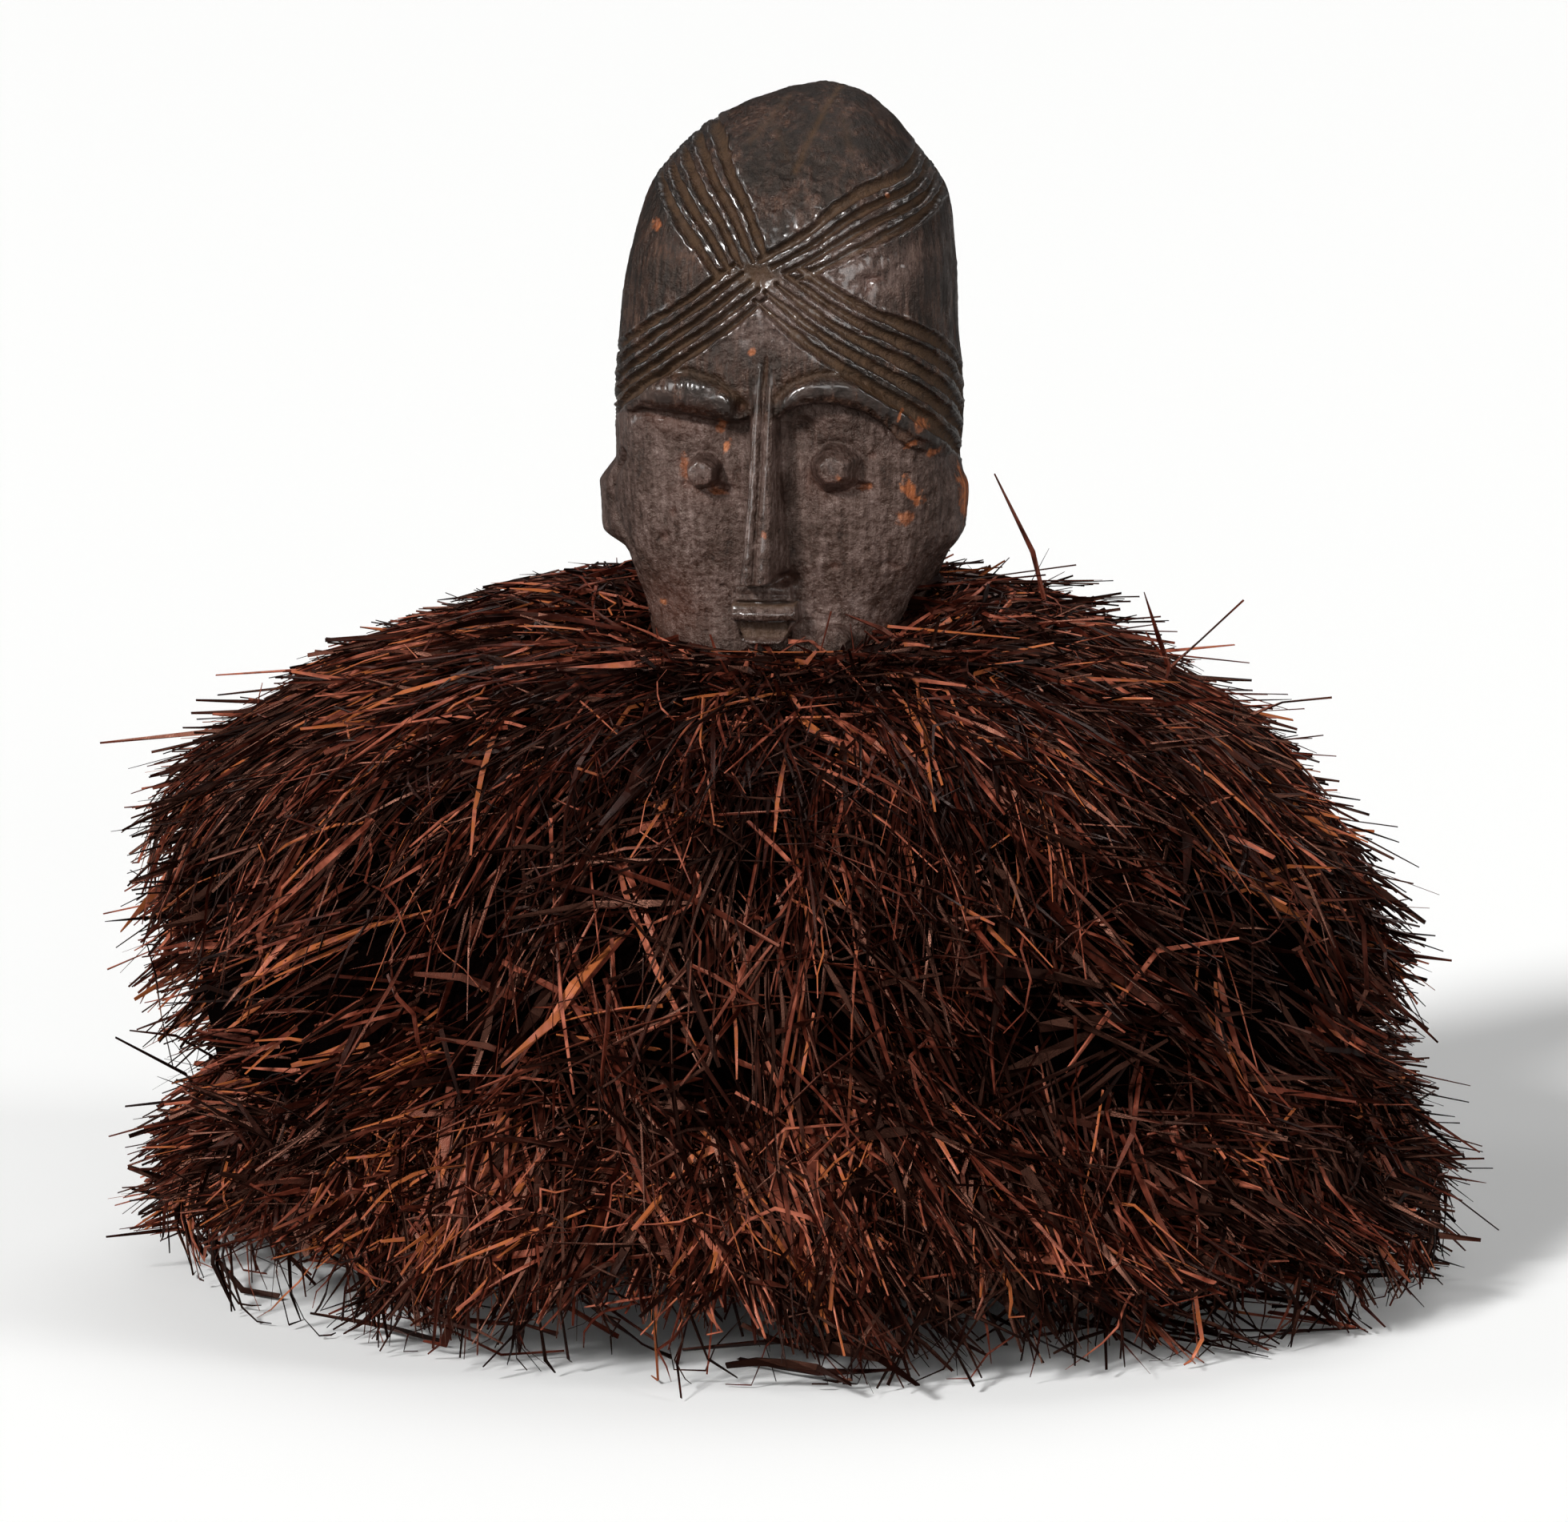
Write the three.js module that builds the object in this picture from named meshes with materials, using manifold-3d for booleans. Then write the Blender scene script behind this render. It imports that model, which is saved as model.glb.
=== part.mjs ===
// A crest headdress: a tall carved wooden head whose neck stands in two rows of dried plant fibre.
// Millimetres. X runs to the viewer's right, the face looks along -Y and Z is up.
// Z 0 is the surface that the lowest fibre tips stand on, and the Z axis passes through the neck.

import * as THREE from "three";
import { mergeVertices } from "three/addons/utils/BufferGeometryUtils.js";
import Module from "manifold-3d";

const wasm = await Module();
wasm.setup();

// Driving dimensions of the carved head

// Cross sections from the neck's foot to the crown: height, centre x, half width, front depth, back depth.
const HEAD_STATIONS = [
  [212, 0, 46, 44, 47],
  [244, -1.5, 49, 47, 50],
  [272, -3, 54, 55, 54],
  [293, -0.7, 61, 62, 63],
  [315, 0.6, 69.2, 66, 72],
  [347, 0.4, 72.5, 69, 79],
  [375, 0.9, 73.5, 71, 83],
  [405, 1.3, 71.2, 71, 83],
  [438, 2.8, 68.3, 69, 79],
  [464, 4.6, 62.6, 63, 69],
  [481, 5, 51.5, 53, 56],
  [496, 8.2, 36, 38, 40],
  [506.5, 13.5, 17.5, 20, 21],
  [510.5, 15.5, 0, 0, 0],
];
const FRONT_SQUARENESS = 2.9;
const BACK_SQUARENESS = 2.2;
const FRONT_ARC_DEG = 200;
const FRONT_COLUMNS = 20;
const BACK_COLUMNS = 11;
const HEAD_ROWS = 17;
const CROWN_END = 0.985; // share of the stations where the last ring lies

// The lower face lies behind the forehead, under the two brows.
const FACE_RECESS = 7;
const FACE_RECESS_FADE = [260, 297]; // heights between which the set-back begins, over the neck
const FACE_SIDE_INSET = 1.2;
const FACE_BACK_INSET = 8;
const FACE_SHARES = [0.09, 0.52]; // where the set-back face starts and ends, as shares of the stations
const FACE_ROWS = 8;
const RECESS_BACK_Y = -10;
const RECESS_FRONT_Y = -140;
const SIDE_X = 100;
const RECESS_BOTTOM_Z = 262;
const BRIDGE = { left: -6.6, right: 4.2, bottomZ: 318 };
// Each brow: x, the height of its lower edge and of the groove over it.
const LEFT_BROW = [[-57, 371.5, 379], [-45, 373.3, 386.5], [-31, 372.6, 389.5], [-18, 371, 387], [-10, 369.8, 380]];
const RIGHT_BROW = [
  [4.7, 373.5, 379],
  [14, 378.5, 387],
  [28.7, 380.6, 391.5],
  [38, 379.3, 390],
  [47.2, 372, 384],
  [59.7, 361.8, 373],
  [70, 358, 366],
];
const BROW = { rise: 2.6, endRise: 0.8, back: 9 };

// Nose: height, then the left root, left crest, notch, right crest and right root, and the crest's depth.
const NOSE_STATIONS = [
  [304, -11.4, -7.4, -1.6, 3.8, 12.9, 81],
  [323, -10.4, -5.6, -1, 3.8, 11.4, 79.5],
  [360, -7, -2.8, -0.2, 3.8, 7.1, 75.5],
  [397, -3.2, -2, 0.7, 3.3, 4.3, 71.6],
];
const NOSE_NOTCH = 2;
const NOSE_ROOT_DEPTH = 52;

// Round bosses on the face: x, z, root radius, tip radius, depth of the root and of the tip.
const EYES = [
  { x: -27, z: 349, root: 9, tip: 5.6, from: 54, to: 70.5 },
  { x: 27.8, z: 351.5, root: 9.6, tip: 5.8, from: 54, to: 70.5 },
];
const CHIN_KNOB = { x: 27.6, z: 275, root: 8.5, tip: 6.5, from: 38, to: 57.5 };
const BOSS_SIDES = 9;

// Ledges under the nose and the two lips: top and bottom heights, their x spans and the front depth.
const MOUTH_BLOCKS = [
  { top: [302.6, -11.4, 10], bottom: [294.1, -12, 10.6], depth: 62.5 },
  { top: [293.7, -15.1, 13.4], bottom: [286.3, -15.5, 13.4], depth: 65 },
  { top: [285.5, -15, 12.9], bottom: [276.6, -9, 4.1], depth: 61.5 },
];
const MOUTH_BACK_DEPTH = 40;

const EAR = { centreY: -8, centreZ: 326, reachY: 12, reachZ: 19, thickness: 5.4, lift: 2.6, fromDeg: -115, toDeg: 115 };
const EAR_SEGMENTS = 8;
const EAR_SIDES = 5;
const WORN_EAR = { x: 69, y: -3, z: 331, reachX: 8.5, reachY: 15, reachZ: 23 };

// Four bands of carved channels spread from a crossing on the forehead, over the sides, to the back.
// A route runs through points of degrees from the front and height, for a band's first and last channel.
const BANDS = [
  { count: 4, width: 4.5, first: [[-4, 440.5], [21, 467], [75, 478.5], [104, 481]], last: [[9, 432], [34.5, 450.5], [74.5, 464], [104, 467]] },
  { count: 5, width: 4.6, first: [[-3, 441], [-17, 469], [-42, 491], [-104, 497]], last: [[-18, 431.5], [-31, 450], [-55, 471], [-104, 480]] },
  { count: 5, width: 4, first: [[-13, 437], [-30, 420], [-56, 402], [-104, 384]], last: [[-1, 423.5], [-21, 403.5], [-56, 376.5], [-104, 360]] },
  { count: 5, width: 5.2, first: [[9, 436], [36, 415.5], [76.5, 397], [104, 385]], last: [[-5, 422], [22, 396.5], [59, 367.5], [100, 351]] },
];
const CHANNEL = { depth: 2.2, above: 1.2, narrowAtStart: 0.75 };
const CHANNEL_STEPS = 7;

// Driving dimensions of the fibre

const NECK_GAP = 1.3;
const ROW_GAP = 1.2;
const DEPTH_SHARE = 0.94; // front and back reach this share of the side's radius

// Outer lines of the upper row on the viewer's left, the viewer's right and the front: radius, height.
const UPPER_LEFT = [[115, 290], [190, 264], [240, 232], [273, 199], [280, 163], [275, 118], [267, 84]];
const UPPER_RIGHT = [[108, 288], [156, 266], [201, 234], [231, 199], [256, 163], [267, 120], [268, 90]];
const UPPER_FRONT = [[100, 277], [150, 267], [197, 243], [232, 210], [254, 168], [264, 124], [266, 84]];
const UPPER_TOP_Z = { front: 272, side: 294, back: 299 };
const UPPER_UNDERSIDE = [[238, 90], [178, 150], [92, 210]];
const UPPER_INNER_Z = 228;

const LOWER_TOP = [[92, 210], [178, 150], [238, 90]];
const LOWER_SHOULDER = [252, 56];
const LOWER_OUTER = [[267, 51], [274, 38], [268, 20]];
const LOWER_HEM = { outer: 262, inner: 238 };
const LOWER_INNER = [[214, 34], [184, 80], [136, 134], [80, 180]];
const LOWER_ROOT = { radius: 60, topZ: 219, bottomZ: 198 };
const RIGHT_FLARE = 14; // the lower row spreads this much further on the viewer's right

const LOCKS = 20;
const LOCK_COLUMNS = [0, 0.34, 0.68]; // valley and two crest columns, as shares of a lock's width
const LOCK_RIDGE = 5.5;
const LOCK_TIP_DROP = 20;
const TUFT_STEP = 7;
const TUFT_ZIGZAG = 0.055;
const UPPER_TUFT_ENDS = [0.3, 0.56, 0.8];
const LOWER_TUFT_ENDS = [0.5];
const HEM_LIFTS = [0, 6, 0, 2, 10]; // how far above the floor the locks' tips end, in turn
const LEFT_HEM_LIFT = 13; // and how much further on the viewer's left

const COLOURS = { wood: 0x2b211d, upperFibre: 0x3a1d12, lowerFibre: 0x46210f };

// Turns a closed three.js geometry into a solid, and a solid back into a geometry.
function solidOf(geometry) {
  const bare = new THREE.BufferGeometry().setAttribute("position", geometry.getAttribute("position").clone());
  if (geometry.index) bare.setIndex(geometry.index.clone());
  const merged = mergeVertices(bare, 1e-3);
  return new wasm.Manifold(
    new wasm.Mesh({
      numProp: 3,
      vertProperties: new Float32Array(merged.attributes.position.array),
      triVerts: new Uint32Array(merged.index.array),
    }),
  );
}

function geometryOf(solid) {
  const mesh = solid.getMesh();
  return new THREE.BufferGeometry()
    .setAttribute("position", new THREE.BufferAttribute(new Float32Array(mesh.vertProperties), 3))
    .setIndex(new THREE.BufferAttribute(new Uint32Array(mesh.triVerts), 1));
}

// A solid without the loose slivers that crossing cuts leave.
function largestBody(solid) {
  return solid.decompose().reduce((best, body) => (body.volume() > best.volume() ? body : best));
}

// Skins rings of equal point counts. The points turn anticlockwise seen against the rings' direction.
// Ends are capped flat or at a pole, and a looped skin joins its last ring to its first.
function skin(rings, { looped = false, pole = null } = {}) {
  const count = rings[0].length;
  const points = rings.flat();
  const faces = [];
  const spans = looped ? rings.length : rings.length - 1;
  for (let i = 0; i < spans; i += 1) {
    const low = i * count;
    const high = ((i + 1) % rings.length) * count;
    for (let j = 0; j < count; j += 1) {
      const next = (j + 1) % count;
      faces.push(low + j, low + next, high + next, low + j, high + next, high + j);
    }
  }
  if (!looped) {
    faces.push(...cap(rings[0], 0, true));
    const last = (rings.length - 1) * count;
    if (pole) {
      points.push(pole);
      for (let j = 0; j < count; j += 1) faces.push(last + j, last + ((j + 1) % count), points.length - 1);
    } else {
      faces.push(...cap(rings.at(-1), last, false));
    }
  }
  return new THREE.BufferGeometry().setFromPoints(points).setIndex(faces);
}

// Triangles of a flat end, whose outline may be hollow in places.
function cap(ring, offset, reversed) {
  const origin = ring[0];
  const across = new THREE.Vector3();
  const normal = new THREE.Vector3();
  ring.forEach((point, i) => {
    const a = point.clone().sub(origin);
    const b = ring[(i + 1) % ring.length].clone().sub(origin);
    normal.add(a.cross(b));
  });
  normal.normalize();
  across.copy(ring[1]).sub(origin).normalize();
  const up = normal.clone().cross(across);
  const flat = ring.map((point) => {
    const offsetPoint = point.clone().sub(origin);
    return new THREE.Vector2(offsetPoint.dot(across), offsetPoint.dot(up));
  });
  const triangles = THREE.ShapeUtils.triangulateShape(flat, []);
  return triangles.flatMap(([a, b, c]) => (reversed ? [c, b, a] : [a, b, c]).map((k) => k + offset));
}

// The carved head

const lastStation = HEAD_STATIONS.length - 1;
const widthCurve = stationCurve(([z, centreX, halfWidth]) => [centreX, halfWidth, z]);
const depthCurve = stationCurve(([z, , , front, back]) => [front, back, z]);

function stationCurve(pick) {
  const points = HEAD_STATIONS.map((station) => new THREE.Vector3(...pick(station)));
  return new THREE.CatmullRomCurve3(points, false, "catmullrom", 0.5);
}

// The head's cross section at a share of the way from the neck's foot to the crown.
function sectionAt(share) {
  const width = widthCurve.getPoint(share);
  const depth = depthCurve.getPoint(share);
  return { z: width.z, centreX: width.x, halfWidth: width.y, front: depth.x, back: depth.y };
}

// The share whose section lies at height z.
function shareAtHeight(z) {
  return rootOf((share) => sectionAt(share).z - z, 0, 1);
}

// Where a rising function crosses zero between two values.
function rootOf(rising, low, high) {
  for (let i = 0; i < 40; i += 1) {
    const middle = (low + high) / 2;
    if (rising(middle) < 0) low = middle;
    else high = middle;
  }
  return (low + high) / 2;
}

// A point of a section, by its angle from the front: 0 faces -Y and a quarter turn faces +X.
function sectionPoint(section, angle, grow = 0) {
  const ahead = Math.cos(angle) > 0;
  const power = ahead ? FRONT_SQUARENESS : BACK_SQUARENESS;
  const depth = (ahead ? section.front : section.back) + grow;
  const across = Math.abs(Math.sin(angle)) / (section.halfWidth + grow);
  const along = Math.abs(Math.cos(angle)) / depth;
  const radius = (across ** power + along ** power) ** (-1 / power);
  return new THREE.Vector3(section.centreX + radius * Math.sin(angle), -radius * Math.cos(angle), section.z);
}

// The angles of the head's columns, which stand closer together in front.
function columnAngles() {
  const start = -FRONT_ARC_DEG / 2;
  const front = Array.from({ length: FRONT_COLUMNS }, (_, j) => start + (FRONT_ARC_DEG * j) / FRONT_COLUMNS);
  const rest = 360 - FRONT_ARC_DEG;
  const back = Array.from({ length: BACK_COLUMNS }, (_, j) => -start + (rest * j) / BACK_COLUMNS);
  return [...front, ...back].map(THREE.MathUtils.degToRad);
}

function headRing(section) {
  return columnAngles().map((angle) => sectionPoint(section, angle));
}

// The whole block, with the forehead's surface all the way down.
function headBlock() {
  const shares = Array.from({ length: HEAD_ROWS }, (_, i) => (i / (HEAD_ROWS - 1)) * CROWN_END);
  const [z, x] = HEAD_STATIONS[lastStation];
  return solidOf(skin(shares.map((share) => headRing(sectionAt(share))), { pole: new THREE.Vector3(x, 0, z) }));
}

// The lower face, set back under the brows. It reaches up inside the forehead and lies inside the back.
function faceBlock() {
  const rings = Array.from({ length: FACE_ROWS }, (_, i) => {
    const section = sectionAt(THREE.MathUtils.lerp(...FACE_SHARES, i / (FACE_ROWS - 1)));
    section.front -= FACE_RECESS * THREE.MathUtils.smoothstep(section.z, ...FACE_RECESS_FADE);
    section.halfWidth -= FACE_SIDE_INSET;
    section.back -= FACE_BACK_INSET;
    return headRing(section);
  });
  return solidOf(skin(rings));
}

// A flat outline in x and z, pushed through the head's front half.
function frontPrism(outline, frontY, backY) {
  const shape = new THREE.Shape(outline.map(([x, z]) => new THREE.Vector2(x, z)));
  const geometry = new THREE.ExtrudeGeometry(shape, { depth: backY - frontY, bevelEnabled: false });
  return solidOf(geometry.rotateX(Math.PI / 2).translate(0, backY, 0));
}

// What is cut away in front of the lower face, up to the brows and round the bridge of the nose.
function browCut() {
  const lowerEdge = (brow) => brow.map(([x, z]) => [x, z]);
  const outline = [
    [-SIDE_X, RECESS_BOTTOM_Z],
    [SIDE_X, RECESS_BOTTOM_Z],
    [SIDE_X, RIGHT_BROW.at(-1)[1]],
    ...lowerEdge(RIGHT_BROW).toReversed(),
    [BRIDGE.right, BRIDGE.bottomZ],
    [BRIDGE.left, BRIDGE.bottomZ],
    [BRIDGE.left, LEFT_BROW.at(-1)[1] - 3],
    ...lowerEdge(LEFT_BROW).toReversed(),
    [-SIDE_X, LEFT_BROW[0][1]],
  ];
  return frontPrism(outline, RECESS_FRONT_Y, RECESS_BACK_Y);
}

// A raised roll along one brow. It stands proud of the forehead and thins out at both ends.
function browRoll(brow) {
  const rings = brow.map(([x, bottomZ, topZ], i) => {
    const atEnd = i === 0 || i === brow.length - 1;
    const rise = atEnd ? BROW.endRise : BROW.rise;
    const bottom = surfacePoint(angleAcross(x, bottomZ), bottomZ);
    const top = surfacePoint(angleAcross(x, topZ), topZ);
    const crest = top.clone().lerp(bottom, 0.5);
    crest.y -= rise;
    bottom.y -= rise * 0.5;
    bottom.z += 0.3;
    const inside = new THREE.Vector3(crest.x * 0.9, crest.y + BROW.back, crest.z);
    return [bottom, inside, top, crest];
  });
  return solidOf(skin(rings));
}

function nose() {
  const rings = NOSE_STATIONS.map(([z, rootLeft, crestLeft, notch, crestRight, rootRight, depth]) => [
    new THREE.Vector3(rootLeft, -NOSE_ROOT_DEPTH, z),
    new THREE.Vector3(rootLeft, -NOSE_ROOT_DEPTH - 6, z),
    new THREE.Vector3(crestLeft, -depth, z),
    new THREE.Vector3(notch, -depth + NOSE_NOTCH, z),
    new THREE.Vector3(crestRight, -depth, z),
    new THREE.Vector3(rootRight, -NOSE_ROOT_DEPTH - 6, z),
    new THREE.Vector3(rootRight, -NOSE_ROOT_DEPTH, z),
  ]);
  return solidOf(skin(rings));
}

function boss({ x, z, root, tip, from, to }) {
  return solidOf(new THREE.CylinderGeometry(root, tip, to - from, BOSS_SIDES).translate(x, -(from + to) / 2, z));
}

function mouthBlock({ top, bottom, depth }) {
  const [topZ, topLeft, topRight] = top;
  const [bottomZ, bottomLeft, bottomRight] = bottom;
  const outline = [[bottomLeft, bottomZ], [bottomRight, bottomZ], [topRight, topZ], [topLeft, topZ]];
  return frontPrism(outline, -depth, -MOUTH_BACK_DEPTH);
}

// A C-shaped ear ridge on the viewer's left, open towards the face.
function ear() {
  const rings = Array.from({ length: EAR_SEGMENTS }, (_, i) => {
    const turn = THREE.MathUtils.degToRad(EAR.fromDeg + ((EAR.toDeg - EAR.fromDeg) * i) / (EAR_SEGMENTS - 1));
    const y = EAR.centreY + EAR.reachY * Math.cos(turn);
    const z = EAR.centreZ + EAR.reachZ * Math.sin(turn);
    const section = sectionAt(shareAtHeight(z));
    const outwards = new THREE.Vector3(0, Math.cos(turn), Math.sin(turn));
    return Array.from({ length: EAR_SIDES }, (_, j) => {
      const around = (j / EAR_SIDES) * 2 * Math.PI;
      const lift = EAR.lift * Math.max(0, Math.cos(turn));
      const x = section.centreX - section.halfWidth + 0.5 - lift - EAR.thickness * Math.cos(around);
      return new THREE.Vector3(x, y, z).addScaledVector(outwards, EAR.thickness * 0.75 * Math.sin(around));
    });
  });
  return solidOf(skin(rings.map((ring) => ring.toReversed())));
}

// The other ear, rubbed to a smooth lobe.
function wornEar() {
  const lobe = new THREE.SphereGeometry(1, 8, 6).scale(WORN_EAR.reachX, WORN_EAR.reachY, WORN_EAR.reachZ);
  return solidOf(lobe.translate(WORN_EAR.x, WORN_EAR.y, WORN_EAR.z));
}

// The head's surface at an angle from the front and a height.
function surfacePoint(angle, z) {
  return sectionPoint(sectionAt(shareAtHeight(z)), angle);
}

// The angle from the front where the front surface has this x.
function angleAcross(x, z) {
  const section = sectionAt(shareAtHeight(z));
  return rootOf((angle) => sectionPoint(section, angle).x - x, -Math.PI / 2, Math.PI / 2);
}

function surfaceNormal(angle, z) {
  const step = 0.01;
  const across = surfacePoint(angle + step, z).sub(surfacePoint(angle - step, z));
  const up = surfacePoint(angle, z + 1).sub(surfacePoint(angle, z - 1));
  return across.cross(up).normalize();
}

// The cutter of one channel. It follows the surface from the crossing to the back.
function channelCutter(band, share) {
  const route = new THREE.CatmullRomCurve3(
    band.first.map(([degrees, z], i) => {
      const mixed = [degrees, z].map((value, k) => THREE.MathUtils.lerp(value, band.last[i][k], share));
      return new THREE.Vector3(THREE.MathUtils.degToRad(mixed[0]), mixed[1], 0);
    }),
  );
  const stops = Array.from({ length: CHANNEL_STEPS + 1 }, (_, i) => route.getPoint(i / CHANNEL_STEPS));
  const path = stops.map((stop) => surfacePoint(stop.x, stop.y));
  const rings = path.map((point, i) => {
    const along = path[Math.min(i + 1, CHANNEL_STEPS)].clone().sub(path[Math.max(i - 1, 0)]).normalize();
    const normal = surfaceNormal(stops[i].x, stops[i].y);
    const sideways = along.clone().cross(normal).normalize();
    const half = (band.width / 2) * (i === 0 ? CHANNEL.narrowAtStart : 1);
    const top = half * (1 + CHANNEL.above / CHANNEL.depth);
    return [
      point.clone().addScaledVector(sideways, top).addScaledVector(normal, CHANNEL.above),
      point.clone().addScaledVector(normal, -CHANNEL.depth),
      point.clone().addScaledVector(sideways, -top).addScaledVector(normal, CHANNEL.above),
    ];
  });
  return solidOf(skin(rings));
}

function carvedHead() {
  let head = headBlock().subtract(browCut()).add(faceBlock());
  for (const part of [browRoll(LEFT_BROW), browRoll(RIGHT_BROW), nose(), ear(), wornEar()]) {
    head = head.add(part);
  }
  for (const part of [...EYES, CHIN_KNOB].map(boss)) head = head.add(part);
  for (const part of MOUTH_BLOCKS.map(mouthBlock)) head = head.add(part);
  for (const band of BANDS) {
    for (let i = 0; i < band.count; i += 1) head = head.subtract(channelCutter(band, i / (band.count - 1)));
  }
  return geometryOf(largestBody(head.simplify(0.05)));
}

// The fibre rows

// A repeatable number between 0 and 1 for each whole number.
function chance(whole) {
  const wave = Math.sin(whole * 127.1 + 11.7) * 43758.5453;
  return wave - Math.floor(wave);
}

// The columns round a row: each lock has a valley and two crest columns, and locks differ in width.
function lockColumns(seed) {
  const widths = Array.from({ length: LOCKS }, (_, i) => 0.7 + 0.6 * chance(i + seed));
  const whole = widths.reduce((sum, width) => sum + width, 0);
  const columns = [];
  let start = 0;
  widths.forEach((width, lock) => {
    for (const share of LOCK_COLUMNS) {
      columns.push({ lock, crest: share > 0, angle: ((start + width * share) / whole) * 2 * Math.PI });
    }
    start += width;
  });
  return columns;
}

// How far a column belongs to the viewer's right, the front and the back, from 0 to 1.
// The angle is 0 at +X and turns towards +Y.
function sidesOf(angle) {
  const ease = (value) => THREE.MathUtils.smoothstep(value, 0, 1);
  return {
    right: ease((Math.cos(angle) + 1) / 2),
    front: ease(Math.max(0, -Math.sin(angle))),
    back: ease(Math.max(0, Math.sin(angle))),
  };
}

// A point at a radius, an angle and a height.
function around(radius, angle, z) {
  return new THREE.Vector3(radius * Math.cos(angle), radius * Math.sin(angle) * DEPTH_SHARE, z);
}

// The neck's own radius at an angle and a height, so that the fibre can lie round it.
function neckPoint(angle, z) {
  const section = sectionAt(shareAtHeight(z));
  return sectionPoint(section, angle + Math.PI / 2, NECK_GAP);
}

// A line of radius and height points, and how far along it each share lies.
function lineAt(points, share) {
  const curve = new THREE.CatmullRomCurve3(points.map(([r, z]) => new THREE.Vector3(r, z, 0)), false, "catmullrom", 0.5);
  const point = curve.getPoint(share);
  const tangent = curve.getTangent(share);
  return { r: point.x, z: point.y, outR: -tangent.y, outZ: tangent.x };
}

// The upper row's outer line at a column, mixed from the left, right and front lines.
function upperLine(angle) {
  const { right, front } = sidesOf(angle);
  return UPPER_LEFT.map((left, i) =>
    left.map((value, k) => {
      const side = THREE.MathUtils.lerp(value, UPPER_RIGHT[i][k], right);
      return THREE.MathUtils.lerp(side, UPPER_FRONT[i][k], front);
    }),
  );
}

// Rows of an outer line as shares and heights above the line. Tufts end in steps whose edge zigzags.
function tuftRows(ends, column, seed) {
  const zigzag = (column.crest ? 1 : -1) * TUFT_ZIGZAG + (chance(column.lock * 7 + seed) - 0.5) * TUFT_ZIGZAG;
  const rows = [{ share: 0, rise: 0 }];
  let previous = 0;
  for (const end of ends) {
    rows.push({ share: (previous + end) / 2, rise: TUFT_STEP * 0.45 });
    rows.push({ share: end + zigzag, rise: TUFT_STEP });
    rows.push({ share: end + zigzag + 0.012, rise: -TUFT_STEP * 0.35 });
    previous = end;
  }
  rows.push({ share: (previous + 1) / 2 + 0.03, rise: TUFT_STEP * 0.3 });
  return rows;
}

// The points of an outer line with its tufts and the locks' ridges and valleys.
function shaggyLine(line, ends, column, seed) {
  return tuftRows(ends, column, seed).map(({ share, rise }) => {
    const { r, z, outR, outZ } = lineAt(line, share);
    const length = Math.hypot(outR, outZ);
    const ridge = (column.crest ? 0.45 : -1) * LOCK_RIDGE * Math.min(1, share * 3);
    const out = rise + ridge;
    return around(r + (outR / length) * out, column.angle, z + (outZ / length) * out);
  });
}

// The upper row: a thick cape from the neck over the shoulders, with ragged tips.
function upperRow() {
  const rings = lockColumns(3).map((column) => {
    const { front, back } = sidesOf(column.angle);
    const topZ = UPPER_TOP_Z.side
      + (UPPER_TOP_Z.front - UPPER_TOP_Z.side) * front
      + (UPPER_TOP_Z.back - UPPER_TOP_Z.side) * back;
    const line = upperLine(column.angle);
    const [tipR, tipZ] = line.at(-1);
    const drop = column.crest ? LOCK_TIP_DROP * (0.5 + 0.5 * chance(column.lock + 40)) : 0;
    return [
      neckPoint(column.angle, UPPER_INNER_Z),
      neckPoint(column.angle, topZ),
      around(86, column.angle, topZ + 3),
      ...shaggyLine(line, UPPER_TUFT_ENDS, column, 5),
      around(tipR - (column.crest ? 0 : 8), column.angle, tipZ - drop),
      around(tipR - 16, column.angle, tipZ - drop + 4),
      ...UPPER_UNDERSIDE.map(([r, z]) => around(r, column.angle, z)),
    ];
  });
  const knob = { ...CHIN_KNOB, root: CHIN_KNOB.root + NECK_GAP, tip: CHIN_KNOB.root + NECK_GAP, to: CHIN_KNOB.to + 4 };
  return geometryOf(solidOf(skin(rings, { looped: true })).subtract(boss(knob)));
}

// The lower row: it hangs from under the upper one and stands on the floor with its tips.
function lowerRow() {
  const rings = lockColumns(17).map((column) => {
    const { right } = sidesOf(column.angle);
    const flare = RIGHT_FLARE * right;
    const farLeft = THREE.MathUtils.smoothstep(-Math.cos(column.angle), 0.85, 1);
    const tipLift = column.crest ? HEM_LIFTS[column.lock % HEM_LIFTS.length] : LOCK_TIP_DROP;
    const lift = tipLift + LEFT_HEM_LIFT * farLeft;
    const outer = LOWER_OUTER.map(([r, z]) => [r + flare, z]);
    const below = ([r, z]) => around(r - ROW_GAP, column.angle, z - ROW_GAP);
    return [
      around(LOWER_ROOT.radius, column.angle, LOWER_ROOT.bottomZ),
      around(LOWER_ROOT.radius, column.angle, LOWER_ROOT.topZ),
      ...LOWER_TOP.map(below),
      around(LOWER_SHOULDER[0], column.angle, LOWER_SHOULDER[1]),
      ...shaggyLine(outer, LOWER_TUFT_ENDS, column, 9),
      around(LOWER_HEM.outer + flare, column.angle, lift),
      around(LOWER_HEM.inner + flare, column.angle, lift),
      ...LOWER_INNER.map(([r, z]) => around(r, column.angle, z)),
    ];
  });
  return geometryOf(solidOf(skin(rings, { looped: true })));
}

function piece(name, geometry, colour, roughness) {
  const material = new THREE.MeshStandardMaterial({ color: colour, roughness, metalness: 0, flatShading: true });
  const mesh = new THREE.Mesh(geometry, material);
  mesh.name = name;
  return mesh;
}

const headdress = new THREE.Group();
headdress.add(
  piece("carved_head", carvedHead(), COLOURS.wood, 0.45),
  piece("upper_fibre_row", upperRow(), COLOURS.upperFibre, 0.6),
  piece("lower_fibre_row", lowerRow(), COLOURS.lowerFibre, 0.6),
);

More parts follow.
